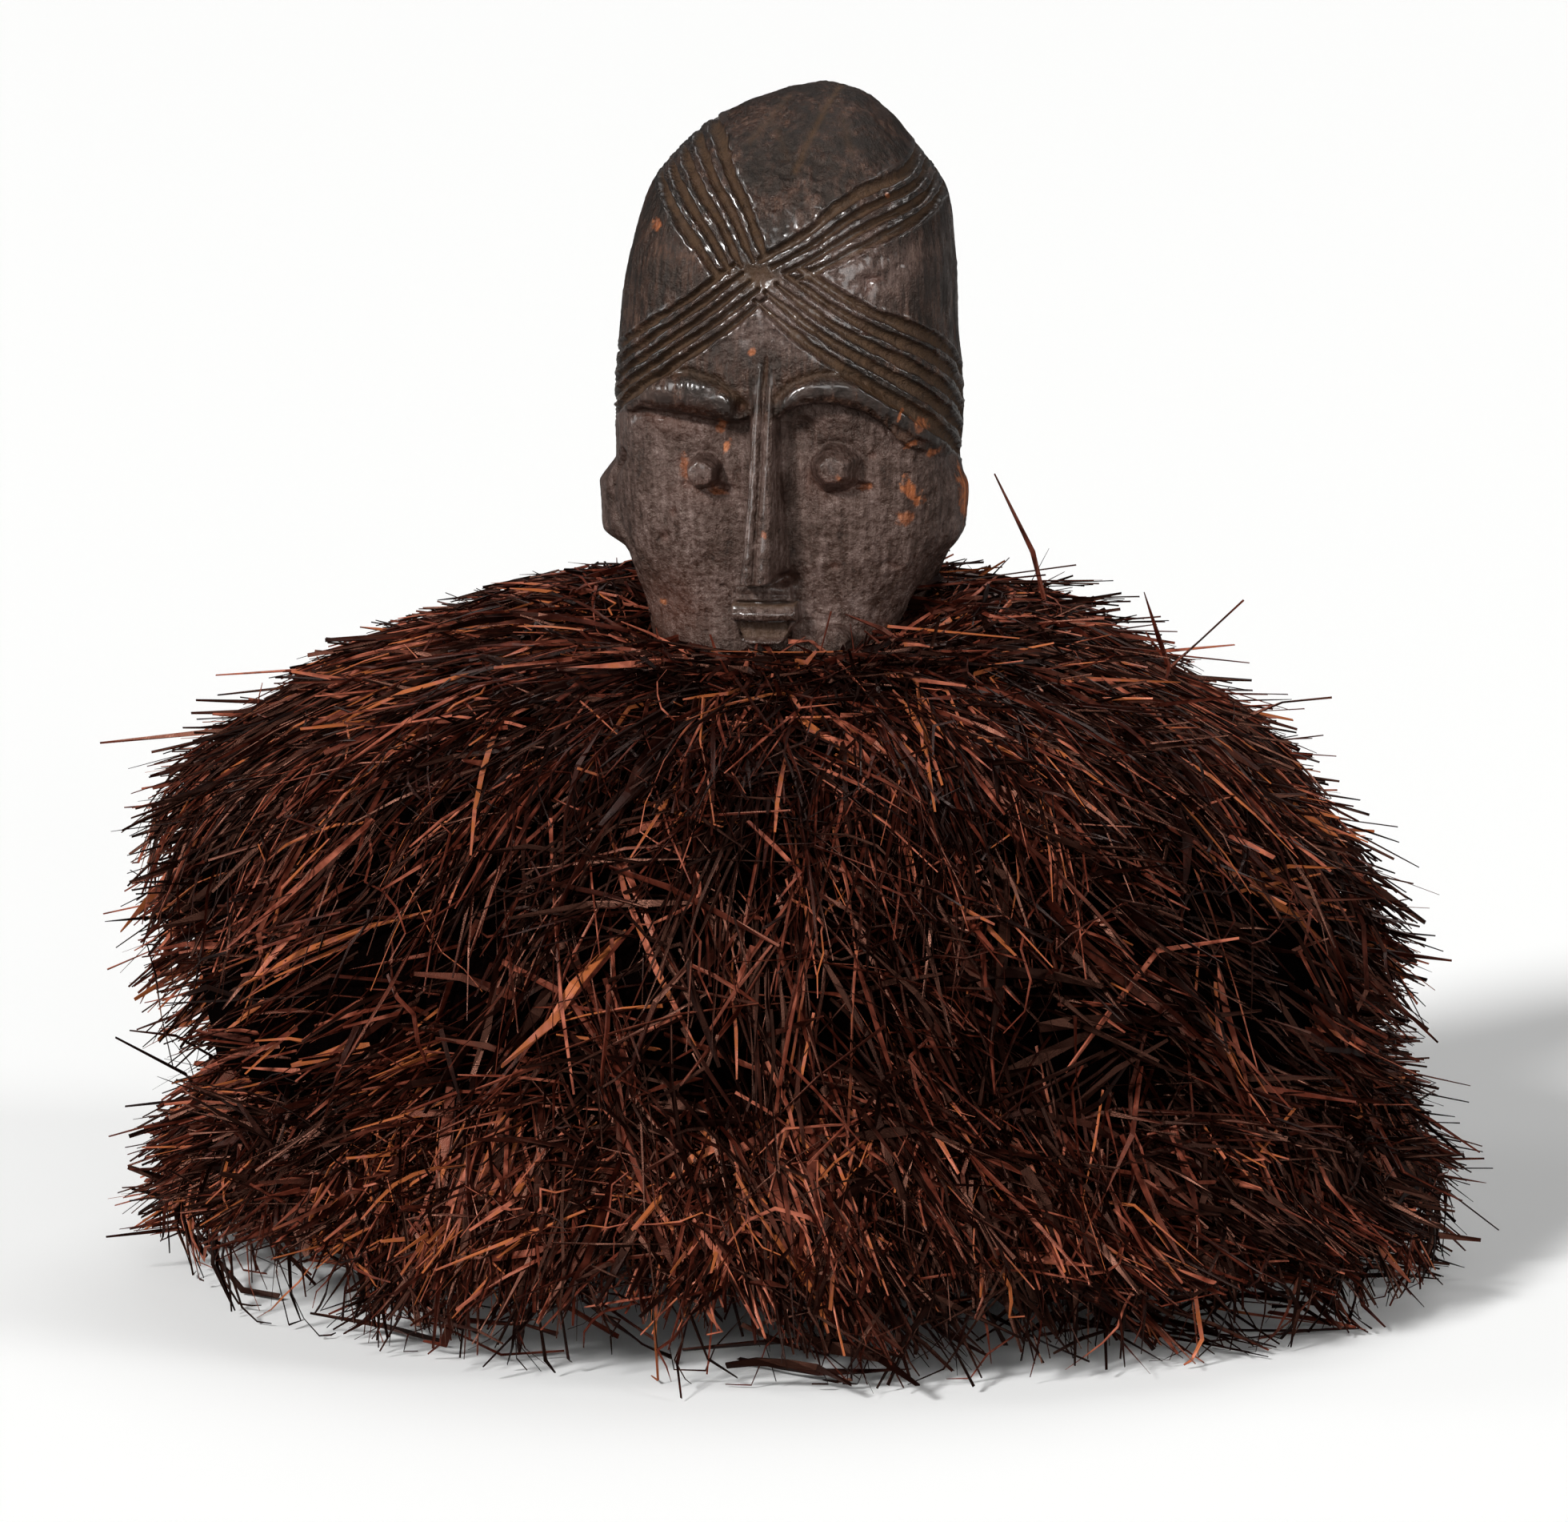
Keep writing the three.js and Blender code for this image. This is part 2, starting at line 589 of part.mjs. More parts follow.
// The fibre spreads a little further to one side, so the whole is centred on the Z axis.
const middle = new THREE.Box3().setFromObject(headdress).getCenter(new THREE.Vector3());
for (const { geometry } of headdress.children) geometry.translate(-middle.x, -middle.y, 0);

export default headdress;
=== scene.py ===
"""Crest headdress: a carved wooden head that stands in two rows of dried plant fibre.

Sizes are in millimetres, measured from the neck's axis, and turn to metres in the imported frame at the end.
The face looks along -Y, and the viewer's right is +X.
"""

import logging
import math
from dataclasses import dataclass, field
from enum import Enum
from typing import Any, Optional, Sequence, Union

import bpy
import numpy as np
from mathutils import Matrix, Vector


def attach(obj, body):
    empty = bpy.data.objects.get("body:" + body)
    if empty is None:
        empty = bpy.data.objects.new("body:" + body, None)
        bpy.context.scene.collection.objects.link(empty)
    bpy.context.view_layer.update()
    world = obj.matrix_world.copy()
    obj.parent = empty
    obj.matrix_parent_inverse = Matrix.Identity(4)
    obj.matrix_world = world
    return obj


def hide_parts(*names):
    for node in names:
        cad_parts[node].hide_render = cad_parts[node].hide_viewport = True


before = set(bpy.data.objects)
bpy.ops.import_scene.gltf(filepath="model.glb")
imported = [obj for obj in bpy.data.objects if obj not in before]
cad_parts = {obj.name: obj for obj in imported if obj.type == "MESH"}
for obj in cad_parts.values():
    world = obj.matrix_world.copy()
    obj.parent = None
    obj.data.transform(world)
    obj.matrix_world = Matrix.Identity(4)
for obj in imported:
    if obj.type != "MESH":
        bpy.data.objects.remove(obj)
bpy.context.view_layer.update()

LOG = logging.getLogger("crest_headdress")
BODY = "root"
METRES = 0.001  # in one millimetre
NOWHERE = -1000.0  # so far behind the face that it never shows, mm
NECK_AXIS = (-3.9, -0.2)  # where the neck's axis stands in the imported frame, mm
DEPTH_SHARE = 0.94  # the fibre's front and back reach this share of the side's radius
MARKS = ("dust", "shine", "face", "rubbed")  # what the head's points keep for its material, each from 0 to 1

Array = np.ndarray
Line = Sequence[Sequence[float]]
Number = Union[float, Array]
Tree = bpy.types.NodeTree
Socket = bpy.types.NodeSocket


# Plain helpers


def smooth(low: Number, high: Number, value: Number) -> Number:
    """Eases from 0 at low to 1 at high."""
    t = np.clip((value - low) / (high - low), 0.0, 1.0)
    return t * t * (3 - 2 * t)


def blend(first: Number, second: Number, share: Number) -> Number:
    """Mixes two values by a share from 0 to 1."""
    return first + (second - first) * share


def hill(off: Array, reach: Number) -> Array:
    """A soft hill of height 1 where off is 0, which falls away over reach."""
    return np.exp(-((off / reach) ** 2))


def unit(vectors: Array) -> Array:
    """Scales vectors, one per row, to length 1."""
    return vectors / np.maximum(np.linalg.norm(vectors, axis=1, keepdims=True), 1e-9)


def between(grows: Sequence[Number], fades: Sequence[float], value: Array) -> Array:
    """Eases from 0 to 1 over the first two values and back to 0 over the last two."""
    return smooth(*grows, value) * (1 - smooth(*fades, value))


def bump_at(x: Array, z: Array, middle: Sequence[float], reach: Sequence[float]) -> Array:
    """A soft hill of height 1 at middle, which falls away over reach in x and z."""
    return np.exp(-(((x - middle[0]) / reach[0]) ** 2) - ((z - middle[1]) / reach[1]) ** 2)


def soft_max(first: Array, second: Array, ease: float) -> Array:
    """The larger of two surfaces, with their meeting line rounded over ease."""
    near = np.maximum(ease - np.abs(first - second), 0.0) / ease
    return np.maximum(first, second) + near * near * ease * 0.25


def lattice_noise(points: Array, cell: Sequence[float], seed: int) -> Array:
    """Smooth repeatable noise from -1 to 1.

    Args:
        points: Places, one per row.
        cell: Size of one bump along x, y and z.
        seed: Picks another pattern.

    Returns:
        One value for each point.
    """
    scaled = points / np.asarray(cell, float)
    base = np.floor(scaled).astype(np.int64)
    part = scaled - base
    part = part * part * (3 - 2 * part)
    total = np.zeros(len(points))
    for corner in range(8):
        step = np.array([corner & 1, (corner >> 1) & 1, corner >> 2])
        at = base + step
        key = (at[:, 0] * 73856093) ^ (at[:, 1] * 19349663) ^ (at[:, 2] * 83492791) ^ (seed * 2654435)
        key = ((key ^ (key >> 13)) * 1274126177) & 0xFFFFFFFF
        value = ((key ^ (key >> 15)) & 0xFFFFFF) / float(0x7FFFFF) - 1.0
        weight = np.where(step, part, 1 - part).prod(axis=1)
        total += weight * value
    return total


def spline(lines: Array, share: Array) -> tuple[Array, Array]:
    """Points on smooth curves through their control points.

    Args:
        lines: Control points, as curves by points by values.
        share: How far along its curve each point lies. Beyond 0 and 1 the curve goes straight on.

    Returns:
        The points, and how fast they move with the share.
    """
    last = lines.shape[1] - 1
    before, after = 2 * lines[:, :1] - lines[:, 1:2], 2 * lines[:, -1:] - lines[:, -2:-1]
    padded = np.concatenate([before, lines, after], axis=1)
    inside = np.clip(share, 0.0, 1.0)
    index = np.minimum((inside * last).astype(int), last - 1)
    t = (inside * last - index)[:, None]
    rows = np.arange(len(index))
    p0, p1, p2, p3 = (padded[rows, index + k] for k in range(4))
    a, b, c = p2 - p0, 2 * p0 - 5 * p1 + 4 * p2 - p3, 3 * p1 - p0 - 3 * p2 + p3
    place = 0.5 * (2 * p1 + a * t + b * t**2 + c * t**3)
    speed = 0.5 * last * (a + 2 * b * t + 3 * c * t**2)
    return place + speed * (share - inside)[:, None], speed


def one_spline(line: Line, share: Array) -> Array:
    """Points on one smooth curve at each share of its length."""
    control = np.asarray(line, float)
    return spline(np.broadcast_to(control, (len(share), *control.shape)), share)[0]


def line_distance(line: Line, x: Array, z: Array, x_scale: Number = 1.0) -> Array:
    """How far points are from a line of straight pieces.

    Args:
        line: The line's points.
        x: The points' first value, already scaled.
        z: The points' second value.
        x_scale: Turns the line's first value into the unit of x.

    Returns:
        The shortest distance of each point.
    """
    best = np.full(np.shape(x), np.inf)
    for (x0, z0), (x1, z1) in zip(line, line[1:]):
        dx, dz = (x1 - x0) * x_scale, z1 - z0
        gap_x, gap_z = x - x0 * x_scale, z - z0
        t = np.clip((gap_x * dx + gap_z * dz) / (dx * dx + dz * dz), 0.0, 1.0)
        best = np.minimum(best, np.hypot(gap_x - t * dx, gap_z - t * dz))
    return best


def along(line: Line, x: Array) -> Array:
    """The line's second value at each x."""
    points = np.asarray(line, float)
    return np.interp(x, points[:, 0], points[:, 1])


def to_frame(points: Array) -> Array:
    """Turns points in mm from the neck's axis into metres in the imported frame."""
    return (points + np.array([*NECK_AXIS, 0.0])) * METRES


def mesh_of(name: str, points: Array, faces: list, edges: Optional[list] = None) -> bpy.types.Mesh:
    """Makes a mesh.

    Args:
        name: The mesh's name.
        points: Its points in metres.
        faces: Point numbers of each face.
        edges: Point numbers of each loose edge.

    Returns:
        The new mesh.
    """
    mesh = bpy.data.meshes.new(name)
    mesh.from_pydata(points.tolist(), edges or [], faces)
    mesh.update()
    return mesh


def add_values(mesh: bpy.types.Mesh, name: str, values: Array) -> None:
    """Keeps a value for each point of a mesh under a name."""
    layer = mesh.attributes.new(name, "FLOAT", "POINT")
    layer.data.foreach_set("value", np.ascontiguousarray(values, np.float32))


def place_object(name: str, mesh: bpy.types.Mesh) -> bpy.types.Object:
    """Puts a mesh in the scene as an object at the origin."""
    shown = bpy.data.objects.new(name, mesh)
    bpy.context.scene.collection.objects.link(shown)
    return shown


def made_plain(source: bpy.types.Object) -> bpy.types.Object:
    """Turns an object with live modifiers into a plain mesh of the same name, and removes the source."""
    name = source.name
    evaluated = source.evaluated_get(bpy.context.evaluated_depsgraph_get())
    mesh = bpy.data.meshes.new_from_object(evaluated)
    old = source.data
    bpy.data.objects.remove(source)
    bpy.data.meshes.remove(old)
    mesh.name = name
    return place_object(name, mesh)


def hand_over(piece: bpy.types.Object, node: str) -> None:
    """Lets a finished piece stand for its solid and reports it.

    Args:
        piece: The finished piece.
        node: The solid that it stands for.
    """
    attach(piece, BODY)
    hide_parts(node)
    piece.data.calc_loop_triangles()
    LOG.info("%s: %d triangles, stands for %s", piece.name, len(piece.data.loop_triangles), node)


# Materials


def colour(code: str) -> tuple[float, float, float, float]:
    """Turns an sRGB hex colour into the linear values that a shader takes."""
    parts = [int(code[i : i + 2], 16) / 255 for i in (1, 3, 5)]
    linear = [v / 12.92 if v <= 0.04045 else ((v + 0.055) / 1.055) ** 2.4 for v in parts]
    return (*linear, 1.0)


def per_mm(size: float) -> float:
    """The noise scale at which one bump is size millimetres wide, on coordinates in metres."""
    return 1.0 / (size * METRES)


def add_node(
    tree: Tree,
    kind: str,
    inputs: Optional[dict] = None,
    stops: Optional[Sequence[tuple[float, str]]] = None,
    **settings: Any,
) -> bpy.types.Node:
    """Adds a node with its settings, values and links.

    Args:
        tree: The tree that it joins.
        kind: The node's type.
        inputs: For a socket's name or number, a value or the output that feeds it.
        stops: A colour ramp's places and colours.
        settings: The node's own settings.

    Returns:
        The new node.
    """
    node = tree.nodes.new(kind)
    for name, value in settings.items():
        setattr(node, name, value)
    for key, value in (inputs or {}).items():
        if isinstance(value, bpy.types.NodeSocket):
            tree.links.new(value, node.inputs[key])
        else:
            node.inputs[key].default_value = value
    if stops:
        elements = node.color_ramp.elements
        while len(elements) < len(stops):
            elements.new(0.5)
        for element, (place, code) in zip(elements, stops):
            element.position, element.color = place, colour(code)
    return node


def new_finish(name: str) -> tuple[bpy.types.Material, Tree, bpy.types.Node]:
    """Starts a material and returns it with its tree and its shader."""
    material = bpy.data.materials.new(name)
    material.use_nodes = True
    tree = material.node_tree
    return material, tree, tree.nodes["Principled BSDF"]


@dataclass(frozen=True)
class WornSpot:
    """A place where the black surface is rubbed through to orange-brown wood; sizes in mm."""

    middle: tuple[float, float, float]
    half_width: float
    half_height: float
    turn_deg: float = 0.0
    strength: float = 1.0
    half_depth: float = 30.0


@dataclass(frozen=True)
class BlackenedHardwood:
    """Dense hardwood, cut with an adze and a knife, then smoked and oiled until it is brown-black.

    Oil and handling leave it half glossy on every raised edge, the knife leaves upright streaks and pits,
    and pale brown dust has settled in the channels.
    """

    name: str = "blackened_carved_hardwood"
    # sizes of the streaks, pits, stain clouds and patches, mm
    streak_width: float = 2.4
    streak_length: float = 26.0
    pit: float = 2.8
    cloud: float = 15.0
    patch: float = 4.0
    # the streaks' share of the stain, and the pits' share of the face's tone
    streak_share: float = 0.45
    pit_share: float = 0.35
    crown_tones: tuple = ((0.38, "#050100"), (0.47, "#150a05"), (0.55, "#2d1b13"), (0.66, "#553e32"))
    # the face's paler tones, which are also laid on the polished forehead as a painted highlight
    face_tones: tuple = ((0.36, "#170a07"), (0.46, "#38261f"), (0.55, "#594741"), (0.68, "#7c6a64"))
    dust: str = "#432f1e"
    rubbed: str = "#562a1a"
    sheen_tint: str = "#f8e8dc"
    bare_tones: tuple = ((0.32, "#4a2816"), (0.5, "#8a4a26"), (0.66, "#b87044"))
    # roughness where the stain is thin and thick, in dust, and where handling has polished it
    roughness: tuple[float, float] = (0.52, 0.2)
    dusty_roughness: float = 0.85
    polished_roughness: float = 0.2
    # depth of the relief of the patches, streaks and pits, mm
    relief: tuple[float, float, float] = (1.8, 0.9, 0.8)
    # how far a worn spot's edge wanders, and where it fades out and is full, in the spot's half sizes
    raggedness: float = 2.6
    spot_edge: tuple[float, float] = (2.25, 1.75)
    spots: tuple[WornSpot, ...] = (
        WornSpot((-48.2, -50, 452.5), 2.9, 3.2, 0, 0.8),
        WornSpot((49.2, -56, 465.3), 1.0, 1.6, 0, 0.9),
        WornSpot((67.0, -6, 479.6), 3.6, 1.8, 10, 0.95, 12),
        WornSpot((-5.4, -70, 400.6), 2.2, 1.8, 0, 0.75),
        WornSpot((74.8, -6, 440.3), 3.2, 4.0, 0, 0.35, 10),
        WornSpot((74.5, -4, 404.5), 2.6, 7.5, 0, 0.5, 9),
        WornSpot((55.7, -58, 374.1), 0.9, 4.2, 12, 1.0),
        WornSpot((63.2, -52, 369.2), 4.4, 3.0, 40, 0.75),
        WornSpot((59.1, -55, 360.8), 5.0, 1.5, -28, 0.8),
        WornSpot((67.5, -42, 356.7), 3.4, 2.0, -15, 0.8),
        WornSpot((58.8, -50, 341.0), 3.6, 8.0, -36, 1.15),
        WornSpot((56.6, -50, 329.7), 4.4, 3.2, -20, 0.6),
        WornSpot((76.5, -12, 337.5), 4.0, 12.5, -6, 1.15, 10),
        WornSpot((-19.5, -62, 369.0), 2.6, 4.2, 24, 0.7),
        WornSpot((-17.8, -62, 359.8), 2.0, 4.4, 20, 0.75),
        WornSpot((-35.6, -62, 350.4), 2.4, 6.5, 0, 0.62),
        WornSpot((-21.3, -60, 340.6), 5.0, 1.7, 8, 0.55),
        WornSpot((40.6, -58, 343.4), 4.0, 1.6, 0, 0.5),
        WornSpot((0.9, -78, 324.6), 1.1, 2.0, 0, 0.9),
        WornSpot((-47.6, -50, 291.7), 2.6, 2.0, 20, 0.75),
        WornSpot((31.2, -68, 348.0), 2.4, 1.8, 0, 0.5),
    )

    def bare_share(self, tree: Tree, place: Socket, ragged: Socket) -> Any:
        """Joins the worn spots into one mask.

        Args:
            tree: The material's tree.
            place: Object coordinates.
            ragged: Noise that breaks the spots' edges.

        Returns:
            The output that is 1 on bare wood.
        """
        out_at, full_at = self.spot_edge
        mask: Any = 0.0
        for spot in self.spots:
            middle = to_frame(np.array(spot.middle))
            size = np.array([spot.half_width, spot.half_depth, spot.half_height]) * METRES
            turn = (0.0, math.radians(spot.turn_deg), 0.0)
            box = {"Vector": place, "Location": middle, "Rotation": turn, "Scale": size}
            near = add_node(tree, "ShaderNodeMapping", box, vector_type="TEXTURE").outputs[0]
            away = add_node(tree, "ShaderNodeVectorMath", {0: near}, operation="LENGTH").outputs["Value"]
            wander = {0: ragged, 1: self.raggedness, 2: away}
            edge = add_node(tree, "ShaderNodeMath", wander, operation="MULTIPLY_ADD").outputs[0]
            strength = min(spot.strength, 1.0)
            fading = {"Value": edge, "From Min": out_at, "From Max": full_at, "To Max": strength}
            fade = add_node(tree, "ShaderNodeMapRange", fading).outputs[0]
            mask = add_node(tree, "ShaderNodeMath", {0: fade, 1: mask}, operation="MAXIMUM").outputs[0]
        return mask

    def material(self) -> bpy.types.Material:
        """Builds the material.

        Returns:
            The finished material.
        """
        made, tree, shader = new_finish(self.name)
        place = add_node(tree, "ShaderNodeTexCoord").outputs["Object"]
        squash = {"Vector": place, "Scale": (1, 1, self.streak_width / self.streak_length)}
        upright = add_node(tree, "ShaderNodeMapping", squash).outputs[0]
        dust, shine, face_tone_and_painted_light, rubbed = (
            add_node(tree, "ShaderNodeAttribute", attribute_name=key).outputs["Fac"] for key in MARKS
        )
        cloud, streak, pits, patch = (
            add_node(tree, "ShaderNodeTexNoise", {"Vector": on, "Scale": per_mm(size), **rest}).outputs[0]
            for on, size, rest in (
                (place, self.cloud, {"Detail": 6, "Roughness": 0.62}),
                (upright, self.streak_width, {"Detail": 5, "Roughness": 0.6}),
                (place, self.pit, {"Detail": 4, "Roughness": 0.7}),
                (place, self.patch, {"Detail": 5, "Roughness": 0.65}),
            )
        )

        # Clouds and streaks together decide how dark the smoke stain is; pits mottle it on the face.
        mixing = {"Factor": self.streak_share, "A": cloud, "B": streak}
        stain = add_node(tree, "ShaderNodeMix", mixing).outputs[0]
        mottle = add_node(tree, "ShaderNodeMix", {"Factor": self.pit_share, "A": stain, "B": pits}).outputs[0]
        tables = ((stain, self.crown_tones), (mottle, self.face_tones), (streak, self.bare_tones))
        look, face, wood = (
            add_node(tree, "ShaderNodeValToRGB", {"Fac": value}, stops=tones).outputs[0]
            for value, tones in tables
        )
        settled = {"Value": patch, "From Min": 0.3, "From Max": 0.62, "To Min": 0.45}
        settling = add_node(tree, "ShaderNodeMapRange", settled).outputs[0]
        warm, dusty = (
            add_node(tree, "ShaderNodeMath", {0: mark, 1: broken}, operation="MULTIPLY").outputs[0]
            for mark, broken in ((rubbed, patch), (dust, settling))
        )
        bare = self.bare_share(tree, place, patch)
        # The face's tone also carries a painted highlight on the polished forehead and painted shade round the
        # right eye and beside the nose.
        layers = ((face_tone_and_painted_light, face), (warm, colour(self.rubbed)), (dusty, colour(self.dust)), (bare, wood))
        for share, over in layers:
            layer = {"Factor": share, "A": look, "B": over}
            look = add_node(tree, "ShaderNodeMix", layer, data_type="RGBA").outputs[2]
        tree.links.new(look, shader.inputs["Base Color"])

        # Half gloss: dust dulls it, and handling polishes it under a thin coat of oil.
        thin, thick = self.roughness
        stained = {"Value": cloud, "From Min": 0.38, "From Max": 0.6, "To Min": thin, "To Max": thick}
        gloss = add_node(tree, "ShaderNodeMapRange", stained).outputs[0]
        for share, rough in ((dusty, self.dusty_roughness), (shine, self.polished_roughness)):
            gloss = add_node(tree, "ShaderNodeMix", {"Factor": share, "A": gloss, "B": rough}).outputs[0]
        tree.links.new(gloss, shader.inputs["Roughness"])
        tree.links.new(shine, shader.inputs["Coat Weight"])
        shader.inputs["Coat Roughness"].default_value = 0.2
        shader.inputs["Specular IOR Level"].default_value = 0.45
        shader.inputs["Specular Tint"].default_value = colour(self.sheen_tint)

        under: dict[str, Socket] = {}
        for height, depth in zip((patch, streak, pits), self.relief):
            inputs = {"Height": height, "Strength": 1.0, "Distance": depth * METRES, **under}
            under = {"Normal": add_node(tree, "ShaderNodeBump", inputs).outputs[0]}
        tree.links.new(under["Normal"], shader.inputs["Normal"])
        return made


@dataclass(frozen=True)
class DriedStrip:
    """Plant leaf, torn into strips and dried: satin, blackish to red-brown, a few strips straw-orange."""

    name: str = "dried_plant_strip"
    tones: tuple = (
        (0.0, "#040000"),
        (0.4, "#0e0302"),
        (0.6, "#280b06"),
        (0.78, "#5a281c"),
        (0.92, "#9c5844"),
        (1.0, "#97532e"),
    )
    roughness: tuple[float, float] = (0.25, 0.49)
    sheen_tint: str = "#d2917a"
    # sizes of the blotches and veins, mm, and how far a blotch shifts the tone
    blotch: float = 9.0
    vein: float = 0.6
    blotch_shift: float = 0.12

    def material(self) -> bpy.types.Material:
        """Builds the material.

        Returns:
            The finished material.
        """
        made, tree, shader = new_finish(self.name)
        place = add_node(tree, "ShaderNodeTexCoord").outputs["Object"]
        shade = add_node(tree, "ShaderNodeAttribute", attribute_name="shade").outputs["Fac"]
        noises = ({"Scale": per_mm(self.blotch), "Detail": 4}, {"Scale": per_mm(self.vein), "Detail": 2})
        blotch, vein = (
            add_node(tree, "ShaderNodeTexNoise", {"Vector": place, **inputs}).outputs[0] for inputs in noises
        )
        shift, gloss = (
            add_node(
                tree,
                "ShaderNodeMapRange",
                {"Value": blotch, "From Min": 0.3, "From Max": 0.7, "To Min": low, "To Max": high},
            ).outputs[0]
            for low, high in ((-self.blotch_shift, self.blotch_shift), self.roughness)
        )
        tone = add_node(tree, "ShaderNodeMath", {0: shade, 1: shift}, operation="ADD").outputs[0]
        look = add_node(tree, "ShaderNodeValToRGB", {"Fac": tone}, stops=self.tones).outputs[0]
        tree.links.new(look, shader.inputs["Base Color"])
        tree.links.new(gloss, shader.inputs["Roughness"])
        shader.inputs["Specular IOR Level"].default_value = 0.5
        shader.inputs["Specular Tint"].default_value = colour(self.sheen_tint)
        veined = {"Height": vein, "Strength": 0.35, "Distance": 0.25 * METRES}
        tree.links.new(add_node(tree, "ShaderNodeBump", veined).outputs[0], shader.inputs["Normal"])
        return made


@dataclass(frozen=True)
class MattedFibre:
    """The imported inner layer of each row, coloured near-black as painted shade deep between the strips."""

    name: str = "matted_fibre_painted_shade"
    # near-black tones: painted shade for the depth between the strips
    tones: tuple = ((0.35, "#010000"), (0.6, "#040101"), (0.8, "#0c0402"))
    strand: float = 2.2

    def material(self) -> bpy.types.Material:
        """Builds the material.

        Returns:
            The finished material.
        """
        made, tree, shader = new_finish(self.name)
        place = add_node(tree, "ShaderNodeTexCoord").outputs["Object"]
        strands = {"Vector": place, "Scale": per_mm(self.strand), "Detail": 5, "Distortion": 1.5}
        mat = add_node(tree, "ShaderNodeTexNoise", strands).outputs[0]
        look = add_node(tree, "ShaderNodeValToRGB", {"Fac": mat}, stops=self.tones).outputs[0]
        tree.links.new(look, shader.inputs["Base Color"])
        shader.inputs["Roughness"].default_value = 0.9
        shader.inputs["Specular IOR Level"].default_value = 0.01
        rough = {"Height": mat, "Strength": 0.8, "Distance": 2.0 * METRES}
        tree.links.new(add_node(tree, "ShaderNodeBump", rough).outputs[0], shader.inputs["Normal"])
        return made


# The carved head


@dataclass(frozen=True)
class Band:
    """One arm of the crossing channels; the routes of its outer ones are degrees from the front and heights."""

    count: int
    width: float
    first: Line
    last: Line


@dataclass(frozen=True)
class Brow:
    """A brow: its middle line, the half height along it, how far it stands out, and the groove over it."""

    line: Line
    halves: Line
    rise: float
    groove: Line


@dataclass(frozen=True)
class Slab:
    """A low block of the mouth: height, left and right of its top and bottom, and how far forward it is."""

    top: tuple[float, float, float]
    bottom: tuple[float, float, float]
    depth: float


@dataclass(frozen=True)
class Boss:
    """A knob that stands out of the face, from a cone with straight flanks (domed 0) to a dome (domed 1)."""

    middle: tuple[float, float]
    root: float
    tip: float
    reach: tuple[float, float]
    domed: float


